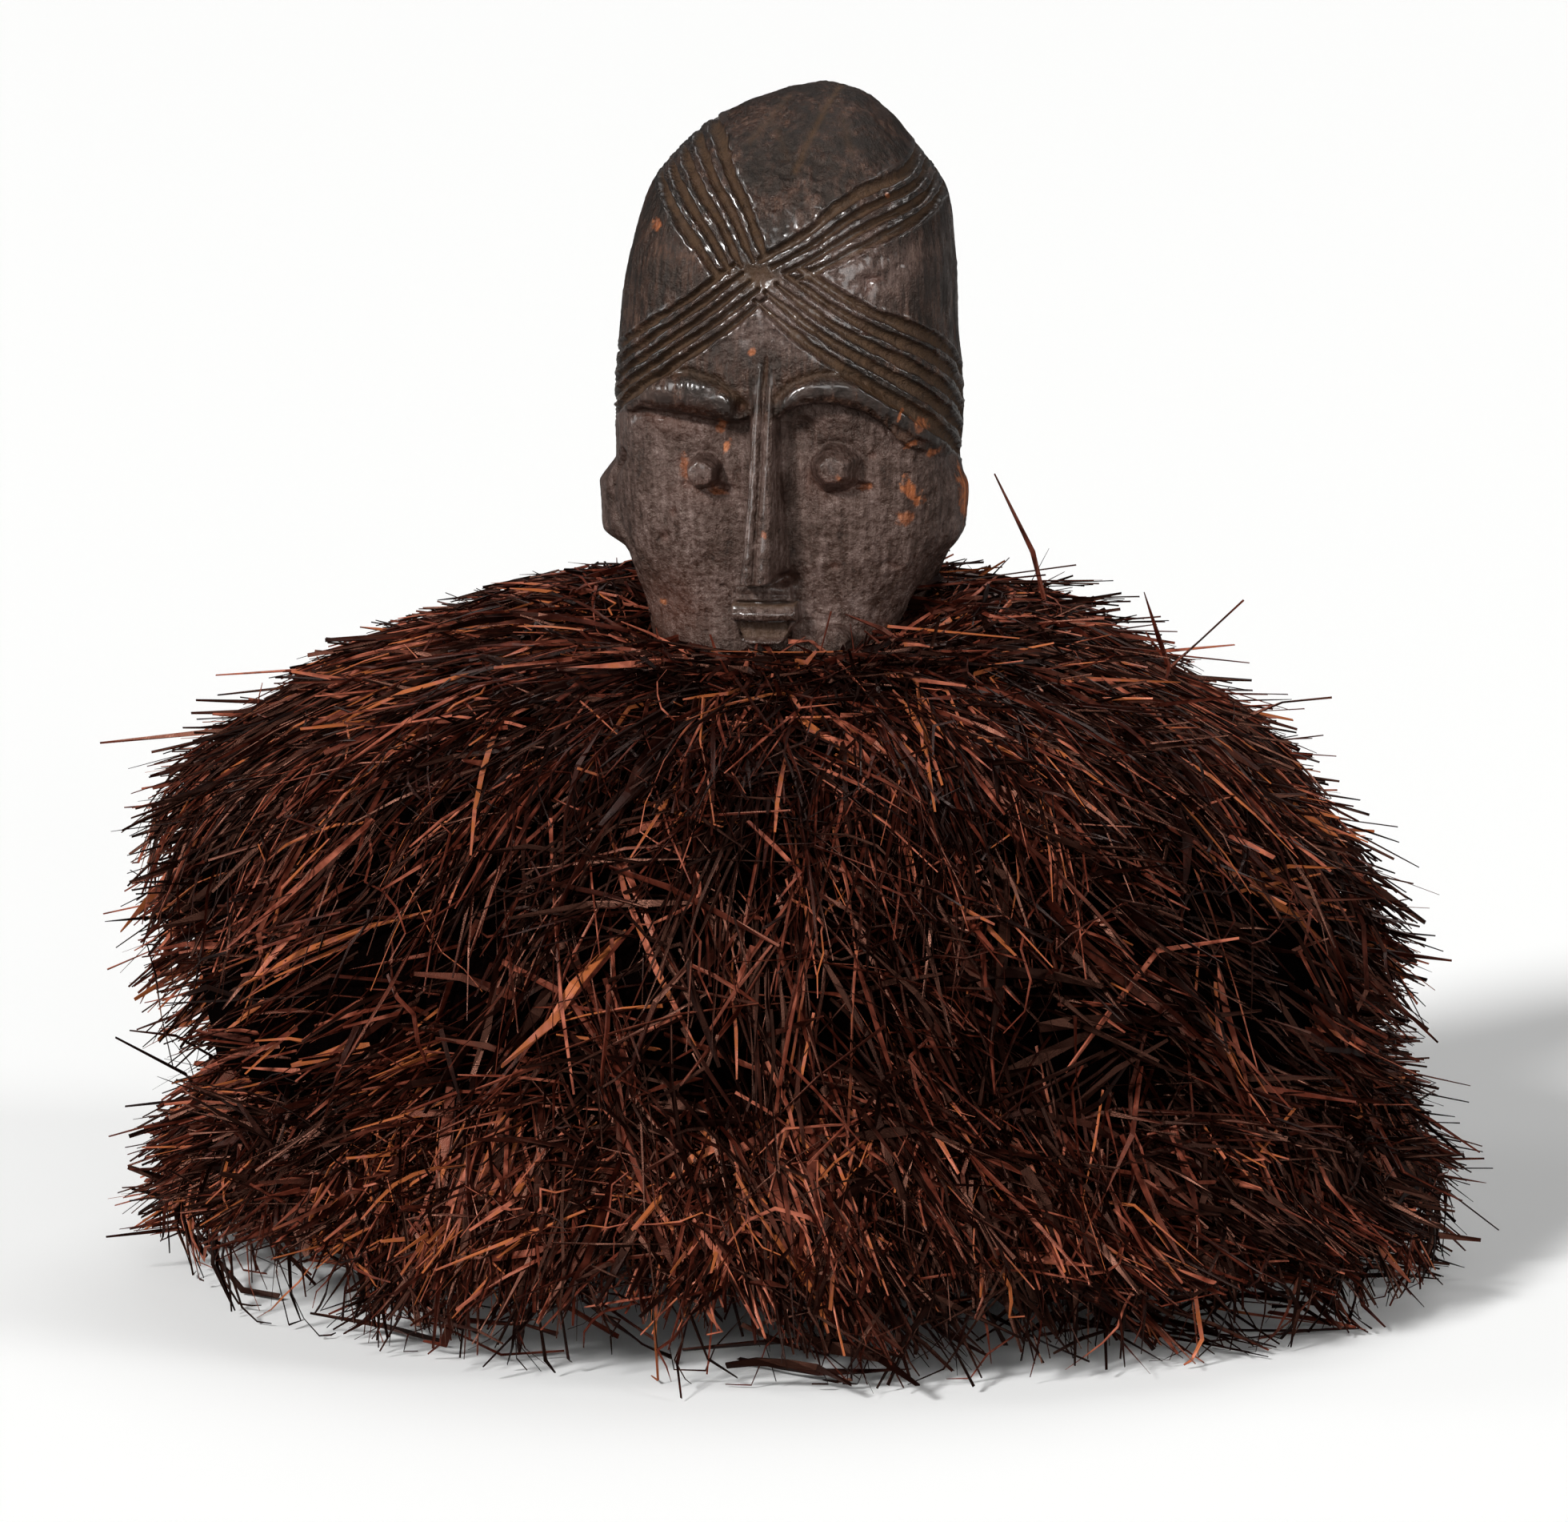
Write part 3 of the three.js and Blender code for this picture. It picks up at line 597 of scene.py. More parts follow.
@dataclass
class CarvedHead:
    """The head: one block of wood with a deep-set face, a long nose and crossing bands of channels."""

    finish: BlackenedHardwood = field(default_factory=BlackenedHardwood)
    # height, centre x, half width, depth in front of the axis, depth behind it
    stations: Line = (
        (212, 0, 46, 44, 47), (244, -1.5, 49, 47, 50), (272, -3, 54, 55, 54), (293, -0.7, 61, 62, 63),
        (315, 0.6, 69.2, 66, 72), (347, 0.4, 72.5, 69, 79), (375, 0.9, 73.5, 71, 83), (405, 1.3, 71.2, 71, 83),
        (438, 2.8, 68.3, 69, 79), (464, 4.6, 62.6, 63, 69), (481, 5, 51.5, 53, 56), (496, 8.2, 36, 38, 40),
        (506.5, 13.5, 17.5, 20, 21), (510.5, 15.5, 0, 0, 0),
    )
    pole: tuple[float, float, float] = (15.5, 0.0, 510.6)
    widest: Line = ((375, 0, 73, 71, 83.0),)
    front_squareness: float = 2.9
    back_squareness: float = 2.2
    # the mesh: spacing where it is hidden or behind, and where it shows, and the last row under the pole
    hidden_below: float = 258.0
    row_step: tuple[float, float] = (4.0, 0.58)
    column_step: tuple[float, float] = (2.4, 0.62)
    fine_arc_deg: float = 104.0
    last_row: float = 0.9985
    row_samples: int = 6000
    column_samples: int = 9001
    triangles: int = 184000

    # degrees from the front: where the carving of the face fades out, where its look does, and where carving
    # turns from straight forward to along the surface's normal
    face_fades_deg: tuple[float, float] = (74, 88)
    look_fades_deg: tuple[float, float] = (80, 88)
    turning_deg: tuple[float, float] = (48, 84)
    # the heights over which the head comes out of the fibre
    emerges: tuple[float, float] = (262, 285)

    # how far the face lies back under the brows, in front and at the sides, and the heights it grows over
    recess: float = 7.0
    recess_at_side: float = 1.2
    recess_heights: tuple[float, float] = (260.0, 297.0)
    brow_edge: Line = (
        (-84, 373), (-66, 373.5), (-59, 374.2), (-54.8, 376.0), (-42.1, 374.8), (-29.4, 373.6), (-17.5, 371.6),
        (-10.8, 371.6), (-7.0, 373.0), (-3.0, 374.0), (2.0, 371.0), (4.5, 372.8), (8.7, 377.1), (12.9, 379.4),
        (25.6, 380.4), (38.2, 377.5), (48.3, 370.9), (55.1, 362.5), (63.5, 357.7), (71.9, 354.4), (84, 352.0),
    )
    brow_root: float = 2.2
    brows: tuple[Brow, ...] = (
        Brow(
            (
                (-56, 380.2), (-52.3, 382.2), (-42.1, 382.8), (-33.6, 382.8),
                (-24.3, 381.6), (-16.7, 378.9), (-11.6, 376.0),
            ),
            ((-56, 3.6), (-45, 7.4), (-33, 8.6), (-21, 8.2), (-15, 6.6), (-11.6, 3.6)),
            3.4,
            (
                (-70, 376), (-60.8, 381.3), (-52, 388.0), (-43, 391.2),
                (-33.6, 392.3), (-20.9, 388.8), (-13, 382.6), (-9.1, 378.2),
            ),
        ),
        Brow(
            (
                (5.6, 376.2), (12.9, 382.8), (21, 385.0), (29.8, 385.2),
                (42.4, 382.2), (50.9, 376.6), (59.3, 369.6), (71.9, 361.4),
            ),
            ((5.6, 3.4), (12.9, 5.2), (29.8, 6.2), (42.4, 6.8), (56, 6.2), (72, 4.6)),
            2.0,
            (
                (4.5, 381.2), (11.2, 387.6), (21.4, 391.4), (30, 392.0),
                (38.2, 389.2), (47, 385), (58, 378.5), (76.1, 366.4),
            ),
        ),
    )

    # height, left root, left ridge, groove, right ridge, right edge, right root, depth of the ridge
    nose: Line = (
        (302, -12.0, -8.3, -3.9, -0.9, 2.4, 11.6, 80.4),
        (316, -10.8, -6.4, -3.2, -0.3, 3.0, 10.9, 80.2),
        (333, -9.7, -5.4, -2.3, 0.3, 3.2, 9.8, 78.6),
        (350, -8.4, -4.5, -1.1, 1.5, 3.6, 8.2, 76.8),
        (367, -6.8, -3.9, -1.0, 1.9, 3.8, 6.6, 74.6),
        (384, -4.8, -2.9, -0.5, 2.4, 3.7, 5.4, 72.8),
        (398, -3.4, -1.8, 0.7, 2.7, 3.6, 4.6, 71.6),
    )
    nose_root_depth: float = 52.0
    nose_foot: Line = ((-12, 302.6), (-4, 302.0), (2, 302.8), (5, 306.5), (13, 309.0))
    bridge: tuple[float, float] = (-6.4, 4.2)
    eyes: tuple[Boss, Boss] = (
        Boss((-27.0, 349.4), 8.4, 5.0, (54.0, 71.5), 0.15),
        Boss((28.4, 351.2), 11.2, 5.2, (53.0, 70.5), 0.75),
    )
    chin_knob: Boss = Boss((27.6, 277.0), 8.5, 6.0, (46.0, 62.5), 0.3)
    mouth: tuple[Slab, ...] = (
        Slab((302.0, -14.0, 9.8), (294.3, -14.2, 10.4), 62.6),
        Slab((294.5, -15.6, 12.6), (286.5, -16.0, 13.4), 65.0),
        Slab((286.7, -15.4, 13.0), (276.2, -9.4, 5.0), 61.8),
    )
    # heights of the seam over the mouth, the parting under it, the upper lip's ridge and the lower lip's edge
    seam: float = 297.6
    parting: float = 294.3
    lip_ridge: float = 289.6
    low_lip_edge: float = 277.6
    # the hollow between the lips: left and right end, and how deep
    gape: tuple[float, float] = (-13.4, 9.6)
    gape_depth: float = 3.2
    bands: tuple[Band, ...] = (
        Band(
            4,
            4.5,
            ((-4, 439), (10, 448.5), (28, 465), (52, 474), (75, 480), (104, 484)),
            ((9, 431), (20, 438), (36, 448), (55, 457), (74.5, 464), (104, 468)),
        ),
        Band(
            5,
            4.6,
            ((-3, 441), (-17, 469), (-42, 491), (-104, 497)),
            ((-18, 431.5), (-31, 450), (-55, 471), (-104, 480)),
        ),
        Band(
            5,
            4.2,
            ((-13, 437), (-30, 420), (-56, 402), (-104, 384)),
            ((-1, 423.5), (-21, 403.5), (-56, 376.5), (-104, 360)),
        ),
        Band(
            5,
            5.2,
            ((9, 436), (36, 415.5), (76.5, 397), (104, 385)),
            ((-5, 422), (22, 396.5), (59, 367.5), (100, 351)),
        ),
    )
    channels_above: float = 335.0
    channels_within_deg: float = 110.0
    channel_depth: float = 2.8
    channel_end_deg: tuple[float, float] = (99, 107)
    ridge_half: float = 1.15
    crossing: tuple[float, float] = (-3.5, 432.0)
    crossing_reach: tuple[float, float] = (8, 5)
    # places cut deeper under the brows, round the eyes and beside the nose: middle, reach, depth
    hollows: tuple = (
        ((-27, 361), (19, 13), 2.8),
        ((28, 362), (19, 13), 2.8),
        ((-15, 366), (9, 10), 3.0),
        ((13.5, 367), (9, 11), 3.6),
        ((-14, 340), (5, 28), 1.8),
        ((13.5, 338), (6, 30), 2.6),
    )
    # the crease under each brow: depth, where it grows and where it fades
    creases: tuple = ((2.2, (-62, -54), (-14, -8)), (1.5, (3, 8), (50, 60)))
    # the swelling cheeks, below 0, and the dips beside the mouth: middle, reach, depth
    dips: tuple = (
        ((-42, 318), (18, 22), -1.6),
        ((40, 316), (20, 24), -1.4),
        ((-24, 300), (9, 14), 1.2),
        ((22, 298), (8, 14), 1.2),
    )
    # places that handling has polished, which are glossier and, above the brows, also paler as a painted
    # highlight: middle, reach, strength
    oiled: tuple = (
        ((2, 414), (24, 12), 0.8),
        ((37, 436), (23, 16), 0.85),
        ((-58, 366), (9, 12), 0.6),
        ((2, 300), (18, 12), 0.3),
    )
    # painted shade round the right eye and beside the nose, and places rubbed brown: middle, reach, strength
    painted_shade_spots: tuple = (((26, 364), (22, 11), 0.55), ((12, 335), (5, 30), 0.3))
    browned: tuple = (((-40, 372), (18, 6), 0.5), ((-44, 290), (16, 16), 0.6))
    # pits and cracks: x, height, half width, half height, depth
    pits: Line = (
        (-10.6, 377.6, 2.2, 2.6, 4.5),
        (-20.6, 342.4, 4.6, 1.5, 3.2),
        (-35.4, 343.4, 2.4, 1.2, 1.6),
        (-38.4, 353.0, 1.2, 2.4, 1.3),
        (39.8, 343.4, 3.8, 1.4, 3.2),
        (43.6, 356.4, 1.8, 1.6, 1.4),
        (16.5, 347.0, 1.0, 4.6, 0.9),
        (42.4, 428.6, 2.0, 3.6, 1.6),
        (45.6, 431.2, 3.0, 1.2, 1.2),
        (41.3, 409.1, 2.6, 1.6, 1.5),
        (-45.1, 320.6, 1.8, 2.2, 1.6),
        (-41.0, 331.5, 1.4, 1.8, 0.9),
        (61.4, 361.6, 5.4, 1.0, 1.3),
        (68.0, 357.2, 3.8, 0.9, 1.3),
        (64.9, 378.3, 2.4, 1.2, 1.5),
        (7.4, 304.6, 4.6, 2.8, 4.6),
        (52.0, 309.0, 2.6, 1.6, 0.8),
        (28.0, 309.5, 2.2, 1.6, 0.8),
    )
    # x, height, x, height and strength of each pale scratch on the crown
    scratches: Line = (
        (23.5, 508.8, 10.9, 475.5, 1.0),
        (3.4, 505.3, -9.3, 487.0, 0.5),
        (28.0, 497.0, 34.0, 482.0, 0.4),
        (-2.0, 497.0, 8.0, 480.0, 0.35),
    )
    # where each ear bulges: degrees from the front, how far round and out, heights it grows and fades over
    ear_bulges: Line = (
        (-80.0, 13.0, 9.5, 310.0, 322.0, 340.0, 353.0),
        (80.0, 14.0, 7.0, 306.0, 324.0, 338.0, 355.0),
    )
    # degrees and height along the fold inside the left ear
    ear_fold: Line = ((-56.0, 354.0), (-65.0, 347.0), (-68.5, 334.0), (-65.0, 321.0), (-57.0, 312.0))
    ear_mm_per_degree: float = 1.25
    # unevenness of the whole block and of the forehead's rough patch: height, cell, seed
    unevenness: tuple = (
        (0.7, (17, 17, 26), 41),
        (0.42, (6.5, 6.5, 13), 43),
        (0.24, (2.3, 2.3, 15), 47),
        (0.16, (1.7, 1.7, 2.2), 53),
    )
    rough_patch: tuple = ((9, 470), (22, 17))

    def rows(self) -> Array:
        """The sections of the head's rows, close together where the face and crown show.

        Returns:
            Height, centre, half width, front and back depth of each row.
        """
        share = np.linspace(0, self.last_row, self.row_samples)
        sections = one_spline(self.stations, share)
        travel = np.hypot(np.diff(sections[:, 0]), np.diff(sections[:, 2]))
        step = blend(*self.row_step, smooth(self.hidden_below - 4, self.hidden_below + 4, sections[1:, 0]))
        count = np.concatenate([[0], np.cumsum(travel / step)])
        return one_spline(self.stations, np.interp(np.arange(0, int(count[-1]) + 1), count, share))

    def columns(self) -> Array:
        """The angles of the head's columns in radians, close together in front.

        Returns:
            Angles from -pi to pi; 0 faces -Y.
        """
        angle = np.linspace(-math.pi, math.pi, self.column_samples)
        ring = self.ring(np.array(self.widest), angle)[0]
        travel = np.hypot(*np.diff(ring[:, :2], axis=0).T)
        far = np.abs(np.degrees(angle[1:]))
        behind = smooth(self.fine_arc_deg, self.fine_arc_deg + 12, far)
        step = blend(self.column_step[1], self.column_step[0], behind)
        count = np.concatenate([[0], np.cumsum(travel / step)])
        whole = int(count[-1])
        return np.interp(np.arange(whole) * (count[-1] / whole), count, angle)

    def ring(self, sections: Array, angle: Array) -> Array:
        """The uncut block's surface.

        Args:
            sections: One row per height.
            angle: One angle per column.

        Returns:
            Points by rows and columns.
        """
        z, centre, half, front, back = (sections[:, k, None] for k in range(5))
        ahead = np.cos(angle)[None] > 0
        power = np.where(ahead, self.front_squareness, self.back_squareness)
        across = np.abs(np.sin(angle))[None] / half
        forward = np.abs(np.cos(angle))[None] / np.where(ahead, front, back)
        radius = (across**power + forward**power) ** (-1 / power)
        height = np.broadcast_to(z, radius.shape)
        return np.stack([centre + radius * np.sin(angle), -radius * np.cos(angle), height], axis=-1)

    def nose_depth(self, x: Array, z: Array) -> tuple[Array, Array]:
        """The long nose with two ridges and a groove between them.

        Args:
            x: Places across the face.
            z: Heights.

        Returns:
            How far forward the nose stands, and how near each place is to a ridge.
        """
        table = np.asarray(self.nose, float)
        root_l, ridge_l, groove, ridge_r, edge_r, root_r, depth = (
            np.interp(z, table[:, 0], table[:, k]) for k in range(1, 8)
        )
        root = self.nose_root_depth
        knots = (
            (root_l, root),
            (ridge_l - 1.5, depth - 1.5),
            (ridge_l, depth),
            (0.45 * ridge_l + 0.55 * groove, depth - 0.6),
            (groove, depth - 3.0),
            (0.35 * ridge_r + 0.65 * groove, depth - 1.2),
            (ridge_r, depth - 0.5),
            (edge_r, depth - 2.0),
            (root_r, root),
        )
        made = np.full(x.shape, NOWHERE)
        for (x0, d0), (x1, d1) in zip(knots, knots[1:]):
            t = (x - x0) / np.maximum(x1 - x0, 0.05)
            made = np.where((t >= 0) & (t <= 1), blend(d0, d1, t), made)
        foot = along(self.nose_foot, x)
        grown = between((foot - 1.2, foot + 1.0), (394, 402), z)
        made = np.where((grown > 0) & (made > NOWHERE), blend(root, made, grown), NOWHERE)
        ridge = hill(x - ridge_l, 1.4) + 0.7 * hill(x - ridge_r, 1.2)
        return made, ridge * smooth(301, 304, z) * (1 - smooth(388, 399, z))

    @staticmethod
    def slab_depth(slab: Slab, x: Array, z: Array) -> Array:
        """How far forward a block of the mouth stands; it is far behind the face outside its outline."""
        share = (slab.top[0] - z) / (slab.top[0] - slab.bottom[0])
        left = blend(slab.top[1], slab.bottom[1], np.clip(share, 0, 1))
        right = blend(slab.top[2], slab.bottom[2], np.clip(share, 0, 1))
        inside = smooth(-0.8, 0.8, x - left) * smooth(-0.8, 0.8, right - x)
        inside = inside * smooth(-0.5, 0.7, slab.top[0] - z) * smooth(-0.5, 0.7, z - slab.bottom[0])
        return np.where(inside > 0, blend(slab.depth - 14, slab.depth, inside), NOWHERE)

    @staticmethod
    def boss_depth(boss: Boss, x: Array, z: Array) -> Array:
        """How far forward a faceted knob stands; it is far behind the face outside its root."""
        dx, dz = x - boss.middle[0], z - boss.middle[1]
        turn = np.arctan2(dz, dx)
        radius = np.hypot(dx, dz) * (1 + 0.05 * np.cos(5 * turn + 0.7) + 0.03 * np.cos(8 * turn))
        flank = np.clip((boss.root - radius) / (boss.root - boss.tip), -1, 1)
        flank = np.where(flank > 0, blend(flank, np.sqrt(np.abs(flank)), boss.domed), flank)
        facet = -0.06 * dx + 0.05 * dz
        return np.where(flank > -1, boss.reach[0] + (boss.reach[1] - boss.reach[0] + facet) * flank, NOWHERE)

    def recessed(self, points: Array, edge: Array, under: Array, side: Array) -> Array:
        """Sets the face back under the brows.

        Args:
            points: The uncut block's points.
            edge: The height of the brows' lower edge over each point.
            under: 1 under that edge and 0 over it.
            side: 1 at the sides of the head and 0 in front.

        Returns:
            How far back the face lies from the block.
        """
        x, z = points[:, 0], points[:, 2]
        fade = smooth(*self.recess_heights, z)
        hollow = blend(self.recess, self.recess_at_side, side) * fade * under
        for middle, reach, deep in self.hollows:
            hollow = hollow + deep * bump_at(x, z, middle, reach) * under
        crease = hill(edge - z - 2.2, 2.0)
        for deep, grows, fades in self.creases:
            hollow = hollow + deep * crease * between(grows, fades, x)
        for middle, reach, deep in self.dips:
            hollow = hollow + deep * bump_at(x, z, middle, reach)
        return hollow

    def with_brows(self, points: Array, depth: Array, marks: dict[str, Array]) -> Array:
        """Raises the brows and cuts the grooves over them.

        Args:
            points: The uncut block's points.
            depth: How far forward the face stands so far.
            marks: Where dust and polish lie; this adds to them.

        Returns:
            How far forward each point stands.
        """
        x, z = points[:, 0], points[:, 2]
        block = -points[:, 1]
        for brow in self.brows:
            first, last = brow.line[0][0], brow.line[-1][0]
            off = (z - along(brow.line, x)) / along(brow.halves, x)
            ends = between((first - 3, first + 4), (last - 4, last + 2), x)
            roll = np.sqrt(np.clip(1 - off**2, 0, 1)) * ends
            streaks = 0.5 * lattice_noise(points, (1.6, 30, 9), 11)
            streaks = streaks + 0.45 * lattice_noise(points, (4, 9, 3), 13)
            rolled = block - self.brow_root + (brow.rise + self.brow_root) * roll + streaks * roll
            depth = soft_max(depth, np.where(roll > 0, rolled, NOWHERE), 0.8)
            marks["shine"] += 1.1 * roll * smooth(0.5, 0.9, roll)
        for brow in self.brows:
            gap = line_distance(brow.groove, x, z)
            depth = depth - 1.5 * hill(gap, 1.7)
            marks["dust"] += 0.6 * hill(gap, 2.0)
        return depth

    def with_nose(self, points: Array, depth: Array, marks: dict[str, Array]) -> Array:
        """Adds the nose and the slit over it.

        Args:
            points: The uncut block's points.
            depth: How far forward the face stands so far.
            marks: Where dust and polish lie; this adds to them.

        Returns:
            How far forward each point stands.
        """
        x, z = points[:, 0], points[:, 2]
        nose, ridge = self.nose_depth(x, z)
        chips = lattice_noise(points, (3, 30, 2.2), 17)
        nose = nose + 0.35 * chips * smooth(330, 304, z) * smooth(-3, -6, x)
        slit = hill(x - np.interp(z, [384, 399], [-0.5, 0.9]), 0.8) * between((380, 390), (396, 400), z)
        marks["dust"] += 0.55 * slit
        marks["shine"] += ridge
        return soft_max(depth, nose, 0.7) - 1.6 * slit

    def with_mouth(self, x: Array, z: Array, depth: Array, marks: dict[str, Array]) -> Array:
        """Adds the mouth's blocks, opens it and rounds the lips.

        Args:
            x: Places across the face.
            z: Heights.
            depth: How far forward the face stands so far.
            marks: Where dust and polish lie; this adds to them.

        Returns:
            How far forward each point stands.
        """
        for slab in self.mouth:
            depth = soft_max(depth, self.slab_depth(slab, x, z), 0.6)
        depth = depth - 0.7 * bump_at(x, z, (-1.5, self.seam), (40, 1.1)) * (np.abs(x + 2) < 13)
        inside = smooth(0, 1.6, x - self.gape[0]) * smooth(0, 1.6, self.gape[1] - x)
        depth = depth - self.gape_depth * inside * between((277.6, 280), (285.6, 287.2), z)
        depth = depth - 1.6 * (1 - smooth(0, 2.6, np.abs(z - self.parting) + 1.2)) * (np.abs(x + 1.5) < 15)
        lip = hill(z - self.lip_ridge, 2.2) * smooth(0, 2, 14.5 - np.abs(x + 1.4))
        low_lip = hill(z - self.low_lip_edge, 1.3) * (np.abs(x + 3) < 9)
        marks["shine"] += lip + 0.8 * low_lip
        marks["dust"] += 0.9 * hill(z - self.parting + 0.7, 1.2) * (np.abs(x + 1.5) < 14)
        marks["dust"] += 0.7 * inside * between((278, 280), (285, 287), z)
        return depth + 1.8 * lip

    def face_depth(self, points: Array, marks: dict[str, Array]) -> Array:
        """Carves the face.

        Args:
            points: The uncut block's points.
            marks: Where dust, polish, rubbed wood and the face's paler tone lie, that tone also with a painted
                highlight and painted shade; this adds to them.

        Returns:
            How far forward each point stands.
        """
        x, z = points[:, 0], points[:, 2]
        block = -points[:, 1]
        edge = along(self.brow_edge, x) + 0.5 * lattice_noise(points, (9, 9, 9), 5)
        under = smooth(-1.0, 1.3, edge - z)
        side = smooth(44, 71, np.abs(x - 1))
        depth = block - self.recessed(points, edge, under, side)
        left, right = self.bridge
        bridge = smooth(-1.4, 0.6, x - left) * smooth(-1.4, 0.6, right - x) * smooth(316, 330, z)
        depth = np.maximum(depth, blend(depth, block - 0.8, bridge))
        depth = self.with_brows(points, depth, marks)
        depth = self.with_nose(points, depth, marks)
        depth = self.with_mouth(x, z, depth, marks)
        for eye in self.eyes:
            depth = soft_max(depth, self.boss_depth(eye, x, z), 0.9)
            ring = np.hypot(x - eye.middle[0], z - eye.middle[1]) - eye.root
            depth = depth - 1.3 * hill(ring, 1.7)
            marks["shine"] += 0.9 * bump_at(x, z, eye.middle, (4.5, 4.5))
            marks["rubbed"] += 0.4 * bump_at(x, z, (eye.middle[0], eye.middle[1] - 7), (12, 6))
        depth = soft_max(depth, self.boss_depth(self.chin_knob, x, z), 0.8)
        for px, pz, half_x, half_z, deep in self.pits:
            pit = bump_at(x, z, (px, pz), (half_x, half_z))
            depth = depth - deep * pit
            marks["rubbed"] += 0.5 * pit
        marks["face"] += under * blend(1.0, 0.75, side) * smooth(*self.emerges, z)
        # Painted shade: round the right eye and beside the nose, the face's paler tone gives way to the darker
        # crown tones.
        for middle, reach, strength in self.painted_shade_spots:
            marks["face"] -= strength * under * bump_at(x, z, middle, reach)
        # Polished places are glossier; above the brows they also take the face's paler tone, which is a painted
        # highlight.
        for middle, reach, strength in self.oiled:
            polished = strength * bump_at(x, z, middle, reach)
            marks["shine"] += polished
            marks["face"] += 1.5 * polished * (z > edge)
        for middle, reach, strength in self.browned:
            marks["rubbed"] += strength * bump_at(x, z, middle, reach)
        return depth

    def channel_cut(self, points: Array, degrees: Array, radius: Array, marks: dict[str, Array]) -> Array:
        """Cuts the crossing bands.

        Args:
            points: The uncut block's points.
            degrees: Their angles from the front.
            radius: Their distance from the head's axis.
            marks: Where dust and polish lie; this adds to them.

        Returns:
            How deep each point is cut.
        """
        cut = np.zeros(len(points))
        in_band = np.zeros(len(points))
        z = points[:, 2]
        reach = np.flatnonzero((z > self.channels_above) & (np.abs(degrees) < self.channels_within_deg))
        place, z, turn, radius = points[reach], z[reach], degrees[reach], radius[reach]
        wobble = 0.45 * lattice_noise(place, (7, 7, 7), 23) + 0.25 * lattice_noise(place, (2.5, 2.5, 2.5), 29)
        mm_per_degree = radius * math.radians(1)
        deepest, nearest = np.zeros(len(reach)), np.full(len(reach), np.inf)
        steps = np.linspace(0, 1, 13)
        for band in self.bands:
            first, last = np.asarray(band.first, float), np.asarray(band.last, float)
            sides = [one_spline(line, steps) for line in (first, last)]
            for share in np.arange(band.count) / (band.count - 1):
                route = one_spline(blend(first, last, share), steps)
                near = np.flatnonzero((z > route[:, 1].min() - 8) & (z < route[:, 1].max() + 8))
                scale = mm_per_degree[near]
                gap = line_distance(route, turn[near] * scale, z[near], scale) + wobble[near]
                start = np.hypot((turn[near] - route[0, 0]) * scale, z[near] - route[0, 1])
                pitch = sum(line_distance(side, turn[near] * scale, z[near], scale) for side in sides)
                half = np.clip(pitch / (band.count - 1) / 2 - self.ridge_half, 0.7, band.width / 2 + 0.5)
                half *= 0.7 + 0.3 * smooth(0, 10, start)
                shape = np.clip(1 - (gap / half) ** 2, 0, 1) ** 0.7
                deepest[near] = np.maximum(deepest[near], shape)
                nearest[near] = np.minimum(nearest[near], gap - half)
        fade = 1 - smooth(*self.channel_end_deg, np.abs(turn))
        lumps = lattice_noise(place, (2.6, 2.6, 2.6), 31)
        ridge = np.exp(-((nearest - 0.5) ** 2) / 0.5) * (1 - deepest) * fade
        ridge *= 1 - 0.9 * bump_at(place[:, 0], z, self.crossing, self.crossing_reach)
        channel = self.channel_depth * deepest * (1 + 0.15 * wobble)
        cut[reach] = (channel - ridge * (0.35 + 0.3 * lumps)) * fade
        in_band[reach] = smooth(0.2, 0.75, deepest) * fade
        marks["dust"] += in_band
        marks["shine"][reach] += 1.1 * ridge
        smear = bump_at(points[:, 0], points[:, 2], self.crossing, self.crossing_reach) * (points[:, 1] < 0)
        cut += 1.2 * smear * (1 - in_band)
        marks["dust"] += 1.6 * smear
        return cut

    def ears(self, points: Array, degrees: Array) -> Array:
        """How far the ears stand out of the sides.

        Args:
            points: The uncut block's points.
            degrees: Their angles from the front.

        Returns:
            The outward rise of each point.
        """
        z = points[:, 2]
        rise = np.zeros(len(points))
        for middle, wide, lift, *heights in self.ear_bulges:
            rise += lift * hill(degrees - middle, wide) * between(heights[:2], heights[2:], z)
        fold = line_distance(self.ear_fold, degrees * self.ear_mm_per_degree, z, self.ear_mm_per_degree)
        return rise - 2.8 * hill(fold, 2.4)

    def weathering(self, points: Array, marks: dict[str, Array]) -> Array:
        """The block's unevenness, its rough patch, the crown's scratches and the cheeks' pores.

        Args:
            points: The uncut block's points.
            marks: Where dust lies and the face is; this adds to them.

        Returns:
            The outward rise of each point.
        """
        x, z = points[:, 0], points[:, 2]
        shown = smooth(*self.emerges, z)
        ahead = points[:, 1] < 0
        rise = shown * sum(high * lattice_noise(points, cell, seed) for high, cell, seed in self.unevenness)
        rough = bump_at(x, z, *self.rough_patch) * ahead
        rise += rough * (1.3 * lattice_noise(points, (4.2, 4.2, 2.6), 59) - 0.4)
        for x0, z0, x1, z1, strength in self.scratches:
            scratch = hill(line_distance(((x0, z0), (x1, z1)), x, z), 1.3) * ahead * strength
            rise -= 0.5 * scratch
            marks["dust"] += 0.9 * scratch
        cheek = marks["face"] * shown
        rise -= cheek * 0.7 * np.clip(lattice_noise(points, (2.8, 2.8, 2.8), 61) - 0.2, 0, 1)
        return rise + cheek * 0.2 * lattice_noise(points, (5.0, 5.0, 5.0), 67)

